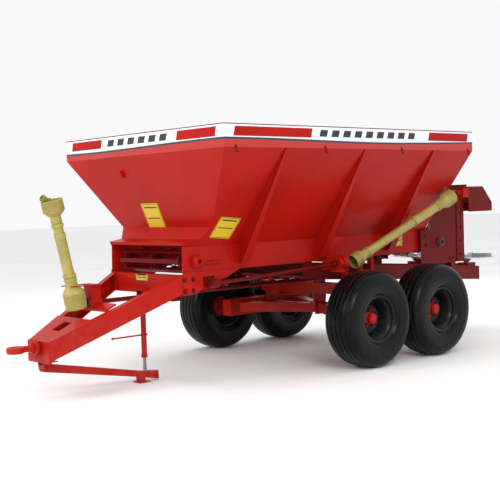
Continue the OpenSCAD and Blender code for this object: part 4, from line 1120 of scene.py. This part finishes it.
@dataclass
class Conveyor:
    """Welded link chains in place of the plain bands."""

    finishes: Finishes
    pitch: float = 0.052
    wire: float = 0.0055
    links: int = 138

    def route(self, count: int) -> list[tuple[Vector, Vector]]:
        """Points and directions round both shafts at equal steps."""
        low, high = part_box("conveyor_chains")
        radius = (high.z - low.z) / 2 - 0.012
        z = (high.z + low.z) / 2
        x0, x1 = low.x + (high.z - low.z) / 2, high.x - (high.z - low.z) / 2
        run = x1 - x0
        total = 2 * run + 2 * math.pi * radius
        places = []
        for i in range(count):
            s = total * i / count
            if s < run:
                places.append((Vector((x0 + s, 0, z + radius)), Vector((1, 0, 0))))
            elif s < run + math.pi * radius:
                t = (s - run) / radius
                places.append((Vector((x1 + radius * math.sin(t), 0, z + radius * math.cos(t))),
                               Vector((math.cos(t), 0, -math.sin(t)))))
            elif s < 2 * run + math.pi * radius:
                places.append((Vector((x1 - (s - run - math.pi * radius), 0, z - radius)), Vector((-1, 0, 0))))
            else:
                t = (s - 2 * run - math.pi * radius) / radius
                places.append((Vector((x0 - radius * math.sin(t), 0, z - radius * math.cos(t))),
                               Vector((-math.cos(t), 0, math.sin(t)))))
        return places

    def build(self) -> None:
        """Builds three chains of alternating links."""
        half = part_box("conveyor_chains")[1].y - 0.015
        shape = Shape("conveyor_chain_links")
        straight, bend = self.pitch * 0.30, 0.0105
        turns = (-1.57, -0.78, 0.0, 0.78, 1.57)
        oval = [(straight + bend * math.cos(t), bend * math.sin(t)) for t in turns]
        oval += [(-straight - bend * math.cos(t), bend * math.sin(t)) for t in turns[::-1]]
        for y in (-half, 0.0, half):
            for i, (point, along) in enumerate(self.route(self.links)):
                across = Vector((0, 1, 0)) if i % 2 else along.cross(Vector((0, 1, 0)))
                centre = point + Vector((0, y, 0))
                shape.tube([centre + along * a + across * b for a, b in oval], self.wire, 6, loop=True)
        shape.make(self.finishes.dark_red, "frame", Slot.DARK_RED, replaces=["conveyor_chains"], smooth=60)


# -------------------------------------------------------------- running parts


@dataclass
class Undercarriage:
    """Bolts, welds and end caps of the axle, beams, drawbar and jack."""

    finishes: Finishes
    ring_half: float = 0.027
    half_track: float = 1.060
    tyre_half: float = 0.1725
    tyre_gap: float = 0.040
    beam_half: float = 0.0625
    beam_tall: float = 0.165

    def bolts(self) -> None:
        """Adds headed bolts with washers in place of the plain chassis bolts."""
        node = frame["nodes"]["chassis_bolts"]
        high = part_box("chassis_bolts")[1]
        spots = self.clusters([v.co for v in node.data.vertices])
        shape = Shape("chassis_bolt_heads")
        for x, z in spots:
            for side in (1, -1):
                face = side * (high.y - 0.010)
                shape.bolt(aim((x, face, z), (0, side, 0)), 0.0165, True, 0.0075)
        shape.make(self.finishes.dark_red, "frame", Slot.DARK_RED, replaces=["chassis_bolts"])

    @staticmethod
    def clusters(points: Sequence[Vector]) -> list[tuple[float, float]]:
        """Centres of groups of points that lie close in X and Z."""
        groups: list[list[Vector]] = []
        for p in points:
            for group in groups:
                if abs(group[0].x - p.x) < 0.04 and abs(group[0].z - p.z) < 0.04:
                    group.append(p)
                    break
            else:
                groups.append([p])
        return [((min(p.x for p in g) + max(p.x for p in g)) / 2,
                 (min(p.z for p in g) + max(p.z for p in g)) / 2)
                for g in groups]

    def hitch(self) -> None:
        """Builds the forged ring eye with its neck, collar and nut."""
        pivot, _ = joint("hitch_swivel")
        mount = next(m for m in frame["record"]["mounts"] if m["name"] == "hitch_ring")
        centre = Vector(mount["pos_m"])
        hole = mount["dims"]["r_mm"] / 1000
        outer = centre.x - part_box("hitch_eye")[0].x
        half = self.ring_half
        mid, wide = (hole + outer) / 2, (outer - hole) / 2
        section = []
        for i in range(28):
            t = 2 * math.pi * i / 28
            c, s = math.cos(t), math.sin(t)
            section.append((mid + wide * math.copysign(abs(c) ** 0.75, c),
                            half * math.copysign(abs(s) ** 0.75, s)))
        shape = Shape("hitch_ring_forging")
        shape.lathe(section, Matrix.Translation(centre), 72, loop=True)
        start = centre.x + hole + 0.014
        plate = pivot.x - 0.062
        neck = [(0.0, 0.0), (0.031, 0.0), (0.030, 0.02), (0.026, 0.05), (0.026, plate - start - 0.045),
                (0.030, plate - start - 0.016), (0.041, plate - start - 0.012), (0.042, plate - start - 0.004),
                (0.0, plate - start - 0.003)]
        shape.lathe(neck, aim((start, 0, centre.z), (1, 0, 0)), 40)
        shape.bolt(aim((pivot.x + 0.043, 0, centre.z), (1, 0, 0)), 0.0385, False, 0.022)
        shape.lathe([(0, -0.1), (0.0236, -0.1), (0.0236, 0.046), (0, 0.046)],
                    aim((pivot.x, 0, centre.z), (1, 0, 0)), 36)
        shape.make(self.finishes.red, "hitch", Slot.RED, smooth=40, replaces=["hitch_eye"])

    def jack(self) -> None:
        """Builds the threaded lower screw and the collars of the nut tube."""
        low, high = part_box("jack_screw")
        x = (low.x + high.x) / 2
        shape = Shape("jack_screw_thread")
        pitch, outer, root = 0.006, 0.016, 0.0135
        base = low.z + 0.046
        thread: Profile = [(0, base)]
        for i in range(int((high.z - base) / pitch)):
            z = base + pitch * i
            thread += [(root, z), (outer, z + pitch * 0.45), (outer, z + pitch * 0.55)]
        thread += [(root, high.z - 0.001), (0, high.z - 0.001)]
        shape.lathe(thread, Matrix.Translation((x, 0, 0)), 28)
        eye = [(-0.0165, 0.0), (0.0165, 0.0), (0.0165, 0.047), (-0.0165, 0.047)]
        shape.prism(eye, -0.0165, 0.0165,
                    Matrix.Translation((x, 0, low.z)) @ Matrix.Rotation(math.pi / 2, 4, "X"))
        shape.make(self.finishes.steel, "jack_foot", Slot.STEEL, smooth=20, replaces=["jack_screw"])
        tube_low, tube_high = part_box("jack_tube")
        at = Matrix.Translation((x, 0, 0))
        collars = Shape("jack_tube_collars")
        for z, r, h in ((tube_low.z, 0.0245, 0.030), (tube_high.z - 0.030, 0.0245, 0.028),
                        (0.400, 0.0245, 0.024)):
            collars.lathe([(r - 0.002, z + 0.0005), (r + 0.0035, z + 0.002), (r + 0.0035, z + h - 0.002),
                           (r - 0.002, z + h)], at, 40, loop=True)
        collars.make(self.finishes.red, "jack_nut", Slot.RED)

    def welds(self) -> None:
        """Adds beads where the beams, posts and brackets meet."""
        shape = Shape("frame_weld_beads")
        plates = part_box("chassis_plates")
        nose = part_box("drawbar_nose")
        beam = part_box("drawbar_beam_left")
        for side in (1, -1):
            inner, outer = beam[1].y - 0.064, beam[1].y
            x = beam[1].x - 0.003
            shape.bead((x, side * inner, beam[1].z + 0.001), (x, side * outer, beam[1].z + 0.001))
            shape.bead((x, side * (outer + 0.001), beam[1].z), (x, side * (outer + 0.001), beam[1].z - 0.158))
            wall = plates[1].y
            for dx in (-0.200, 0.012, 0.180):
                left = middle("pivot_axle").x + dx
                y = side * 0.524
                for sign in (-1, 1):
                    shape.bead((left, y + sign * 0.0265, 0.7135), (left + 0.045, y + sign * 0.0265, 0.7135))
            shape.bead((middle("pivot_axle").x - 0.205, side * (wall - 0.032), 0.7015),
                       (middle("pivot_axle").x - 0.06, side * (wall - 0.032), 0.7015), 0.0045)
        shape.bead((nose[0].x + 0.062, -0.155, beam[0].z + 0.16), (nose[0].x + 0.062, 0.155, beam[0].z + 0.16),
                   0.004)
        shape.make(self.finishes.bead, "frame", Slot.RED)

    def rockers(self) -> None:
        """Adds end caps, a pivot ring and weld beads to the walking beams, and a capped pin end at each pivot."""
        for name, side in (("left", 1), ("right", -1)):
            low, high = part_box(f"rocker_{name}")
            pivot, _ = joint(f"rocker_{name}_tilt")
            shape = Shape(f"rocker_trim_{name}")
            beam_y = side * (self.half_track - self.tyre_half - self.tyre_gap - self.beam_half)
            for x in (low.x, high.x):
                sign = -1 if x == low.x else 1
                plate = aim((x, beam_y, pivot.z), (-sign, 0, 0))
                shape.block((-0.058, -0.078, 0.0005), (0.058, 0.078, 0.004), plate)
            face = beam_y + side * self.beam_half
            shape.lathe([(0.036, 0.0), (0.060, 0.0), (0.060, 0.006), (0.055, 0.009), (0.036, 0.009)],
                        aim((pivot.x, face, pivot.z), (0, side, 0)), 48, loop=True)
            for sign in (-1, 1):
                shape.bead((low.x + 0.01, face - side * 0.001, pivot.z + sign * self.beam_tall / 2),
                           (high.x - 0.01, face - side * 0.001, pivot.z + sign * self.beam_tall / 2), 0.003)
            shape.make(self.finishes.red, f"rocker_{name}", Slot.RED)
            pin = Shape(f"axle_end_{name}")
            pin.lathe([(0, 0.0), (0.034, 0.0), (0.0345, 0.004), (0.031, 0.007), (0, 0.007)],
                      aim((pivot.x, beam_y + side * 0.0785, pivot.z), (0, side, 0)), 40)
            pin.bolt(aim((pivot.x, beam_y + side * 0.0853, pivot.z), (0, side, 0)), 0.011, True)
            pin.make(self.finishes.steel, "frame", Slot.STEEL)

    def bearings(self) -> None:
        """Adds the bearing housings of the conveyor's front shaft and of the input bracket."""
        pivot, _ = joint("conveyor_idler_spin")
        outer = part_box("chain_tensioner")[1].y
        shape = Shape("tensioner_bearings")
        for side in (1, -1):
            at = aim((pivot.x, side * (outer - 0.001), pivot.z), (0, side, 0))
            shape.lathe([(0.0235, 0.0), (0.049, 0.0), (0.049, 0.006), (0.043, 0.010), (0.040, 0.020),
                         (0.030, 0.024), (0.0235, 0.024)], at, 56, loop=True)
            for i in range(4):
                turn = math.pi / 2 * i + math.pi / 4
                shape.bolt(on_circle(at, 0.0445, turn, 0.006), 0.006, False)
            shape.lathe([(0.0, 0.0), (0.004, 0.0), (0.004, 0.010), (0.0025, 0.013), (0.0, 0.013)],
                        aim((pivot.x, side * (outer + 0.010), pivot.z + 0.038), (0, side * 0.6, 0.8)), 10)
        shape.make(self.finishes.red, "tensioner", Slot.RED)
        drive, _ = joint("input_spin")
        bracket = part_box("input_bracket")[0].x + 0.195
        cap = Shape("bracket_bearing")
        cap.lathe([(0.0262, 0.0), (0.047, 0.0), (0.047, 0.006), (0.040, 0.012), (0.030, 0.014),
                   (0.0262, 0.014)],
                  aim((bracket, 0, drive.z), (-1, 0, 0)), 56, loop=True)
        cap.make(self.finishes.ink, "frame", Slot.BLACK)

    def build(self) -> None:
        """Builds the undercarriage's looks."""
        self.bearings()
        self.bolts()
        self.hitch()
        self.jack()
        self.welds()
        self.rockers()


@dataclass
class RearEnd:
    """Bolts, bearings, lens and disc fixings behind the hopper."""

    finishes: Finishes
    flange: float = 0.008

    def panels(self) -> None:
        """Adds the panels' bolts, a bearing ring and black discs that paint the shade of the panels' holes."""
        shape = Shape("rear_panel_bolts")
        painted_hole_shade = Shape("rear_panel_plugs")
        for name, side in (("left", 1), ("right", -1)):
            low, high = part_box(f"rear_panel_{name}")
            face = side * (max(abs(low.y), abs(high.y)) - self.flange)
            out = (0, side, 0)
            for x, z in ((low.x + 0.09, 1.03), (low.x + 0.09, 1.13), (low.x + 0.50, 0.87),
                         (low.x + 0.56, 0.87)):
                shape.bolt(aim((x, face, z), out), 0.012)
            for i in range(5):
                shape.bolt(aim((high.x - 0.06, face + side * 0.008, 0.90 + 0.15 * i), out), 0.010)
            # painted shade: black discs stand for the dark holes in the panels
            painted_hole_shade.lathe([(0, 0), (0.026, 0), (0.027, 0.003), (0.021, 0.006), (0.012, 0.005), (0, 0.005)],
                        aim((low.x + 0.143, face, 1.222), out), 36)
        shape.make(self.finishes.dark_red, "frame", Slot.DARK_RED)
        painted_hole_shade.make(self.finishes.ink, "frame", Slot.BLACK)
        pivot, _ = joint("conveyor_drive_spin")
        low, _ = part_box("rear_panel_right")
        ring = Shape("conveyor_bearing_housing")
        at = aim((pivot.x, low.y + 0.008 - 0.0142, pivot.z), (0, -1, 0))
        ring.lathe([(0.0215, 0.0), (0.050, 0.0), (0.050, 0.003), (0.042, 0.007), (0.040, 0.014), (0.030, 0.017),
                    (0.0215, 0.017)], at, 56, loop=True)
        for i in range(4):
            turn = math.pi / 2 * i + math.pi / 4
            ring.bolt(on_circle(at, 0.0445, turn, 0.004), 0.006, False)
        ring.make(self.finishes.ink, "frame", Slot.BLACK)

    def lens(self) -> None:
        """Adds the small amber lens under each panel's front corner."""
        shape = Shape("side_lens")
        for name, side in (("left", 1), ("right", -1)):
            low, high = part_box(f"rear_panel_{name}")
            face = side * (max(abs(low.y), abs(high.y)) - self.flange)
            at = aim((low.x + 0.035, face, low.z + 0.045), (0, side, 0))
            shape.lathe([(0, 0), (0.030, 0), (0.030, 0.005), (0.026, 0.009), (0.012, 0.0112), (0, 0.0115)], at,
                        40)
        shape.make(self.finishes.amber, "frame", Slot.RED)

    def hood(self) -> None:
        """Adds hinge bolts and side bolts to the hood."""
        low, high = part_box("rear_hood")
        shape = Shape("hood_bolts")
        for side in (1, -1):
            face = side * (abs(high.y))
            for x in (low.x + 0.05, low.x + 0.17, low.x + 0.29):
                shape.bolt(aim((x, face - side * 0.0085, high.z - 0.245), (0, side, 0)), 0.008, True, 0.005)
        for y in (-0.45, -0.15, 0.15, 0.45):
            shape.bolt(aim((low.x + 0.036, y, high.z - 0.020), (0, 0, 1)), 0.008, True, 0.005)
        shape.make(self.finishes.dark_red, "hood", Slot.DARK_RED)

    def discs(self) -> None:
        """Adds vane bolts, a centre nut and a rolled rim to both discs."""
        for name in ("left", "right"):
            pivot, _ = joint(f"disc_{name}_spin")
            low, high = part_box(f"spreading_disc_{name}")
            radius = (high.x - low.x) / 2
            top = high.z - 0.046
            centre = Matrix.Translation((pivot.x, pivot.y, top))
            shape = Shape(f"disc_fixings_{name}")
            for i in range(4):
                place = centre @ Matrix.Rotation(math.radians(90 * i + 20), 4, "Z")
                for r in (0.11, 0.20):
                    shape.bolt(place @ Matrix.Translation((r, 0.016, 0.001)), 0.008)
                foot = [(0.07, 0.003), (0.24, 0.003), (0.24, 0.030), (0.07, 0.030)]
                shape.prism(foot, -0.002, 0.003, place)
            shape.bolt(centre, 0.026)
            lip = Vector((pivot.x, pivot.y, top + 0.0085))
            edge = [(radius - 0.003) * Vector((c, s, 0)) + lip for c, s in circle(96)]
            shape.tube(edge, 0.0028, 8, loop=True)
            shape.make(self.finishes.zinc, f"disc_{name}", Slot.GALVANISED)

    def beater(self) -> None:
        """Adds tips and bolts to the beater's paddles."""
        pivot, _ = joint("beater_spin")
        shape = Shape("beater_tips")
        start = pivot.y - 0.395 + 0.030
        for i in range(12):
            for half in (0, 180):
                turn = Matrix.Translation((pivot.x, start + 0.060 * i + 0.005, pivot.z)) @ Matrix.Rotation(
                    math.radians(30 * i + half), 4, "Y")
                shape.block((0.120, -0.0065, -0.016), (0.162, -0.0052, 0.016), turn)
                head = turn @ Matrix.Translation((0.140, 0.005, 0)) @ Matrix.Rotation(-math.pi / 2, 4, "X")
                shape.bolt(head, 0.007, False)
        shape.make(self.finishes.steel, "beater", Slot.STEEL)

    def build(self) -> None:
        """Builds the rear end's looks."""
        self.panels()
        self.lens()
        self.hood()
        self.discs()
        self.beater()


# ---------------------------------------------------------------------- stage


@dataclass
class Studio:
    """Pale floor, soft lights and the camera."""

    eye: tuple[float, float, float] = (-6.741, -7.104, 1.548)
    heading: float = 42.06
    drop: float = 2.78
    roll: float = -1.86
    lens: float = 71.78

    def camera(self) -> None:
        """Places the camera."""
        yaw, pitch, roll = (math.radians(a) for a in (self.heading, self.drop, self.roll))
        ahead = Vector((math.cos(pitch) * math.sin(yaw), math.cos(pitch) * math.cos(yaw), -math.sin(pitch)))
        right0 = Vector((math.cos(yaw), -math.sin(yaw), 0))
        up0 = right0.cross(ahead)
        right = right0 * math.cos(roll) + up0 * math.sin(roll)
        up = right.cross(ahead)
        data = bpy.data.cameras.new("camera")
        data.lens, data.sensor_width = self.lens, 36.0
        data.clip_end = 200
        camera = bpy.data.objects.new("camera", data)
        camera.matrix_world = Matrix.Translation(self.eye) @ Matrix((right, up, -ahead)).transposed().to_4x4()
        bpy.context.scene.collection.objects.link(camera)
        bpy.context.scene.camera = camera

    def floor(self) -> None:
        """Lays the pale floor."""
        mesh = bpy.data.meshes.new("floor")
        span = 60.0
        mesh.from_pydata([(-span, -span, -0.001), (span, -span, -0.001), (span, span, -0.001),
                          (-span, span, -0.001)],
                         [], [(0, 1, 2, 3)])
        floor = bpy.data.objects.new("floor", mesh)
        g = Graph("pale_floor")
        tone = g.mix(g.noise(0.6, 3).stretched(0.3, 0.7), (0.86, 0.86, 0.86), (0.90, 0.90, 0.90))
        mesh.materials.append(g.dress(Base_Color=tone, Roughness=0.9))
        bpy.context.scene.collection.objects.link(floor)

    def lights(self) -> None:
        """Hangs soft panels round the machine over a pale sky."""
        world = bpy.data.worlds.new("studio_sky")
        bpy.context.scene.world = world
        world.use_nodes = True
        background = world.node_tree.nodes["Background"]
        background.inputs["Color"].default_value = (1.0, 1.0, 1.0, 1.0)
        background.inputs["Strength"].default_value = 0.95
        bpy.context.scene.view_settings.view_transform = "Standard"
        for name, place, target, wide, tall, power in (
                ("key_panel", (-4.5, -8.0, 6.0), (-0.4, -0.6, 1.0), 3.0, 3.0, 330.0),
                ("front_panel", (-8.0, 1.0, 5.0), (-1.0, 0.0, 1.0), 3.0, 3.0, 200.0),
                ("top_panel", (0.0, 0.5, 8.0), (0.0, 0.0, 1.0), 7.0, 4.0, 180.0),
                ("rear_panel", (6.5, 5.5, 4.0), (0.0, 0.0, 1.0), 4.0, 3.0, 120.0)):
            data = bpy.data.lights.new(name, "AREA")
            data.shape, data.size, data.size_y, data.energy = "RECTANGLE", wide, tall, power
            light = bpy.data.objects.new(name, data)
            light.matrix_world = aim(place, Vector(place) - Vector(target))
            bpy.context.scene.collection.objects.link(light)

    def build(self) -> None:
        """Builds the stage."""
        self.camera()
        self.floor()
        self.lights()


def dress_frame(finishes: Finishes) -> None:
    """Gives each carried-over CAD node the finish of its slot."""
    slots = {s["node"]: s["material_slot"] for s in frame["record"]["subparts"]}
    for name, node in frame["nodes"].items():
        material = finishes.of_slot(Slot(slots[name]))
        node.data.materials.clear()
        node.data.materials.append(material)


def main() -> None:
    """Builds the whole scene in order."""
    logging.basicConfig(level=logging.INFO, format="%(message)s")
    Studio().build()
    finishes = Finishes.build()
    dress_frame(finishes)
    for end in ("front", "rear"):
        for side in Side:
            Wheel(end, side, finishes).build()
    for section in (Driveline(finishes), Hopper(finishes), Conveyor(finishes), Undercarriage(finishes),
                    RearEnd(finishes)):
        section.build()


if __name__ == "__main__":
    main()
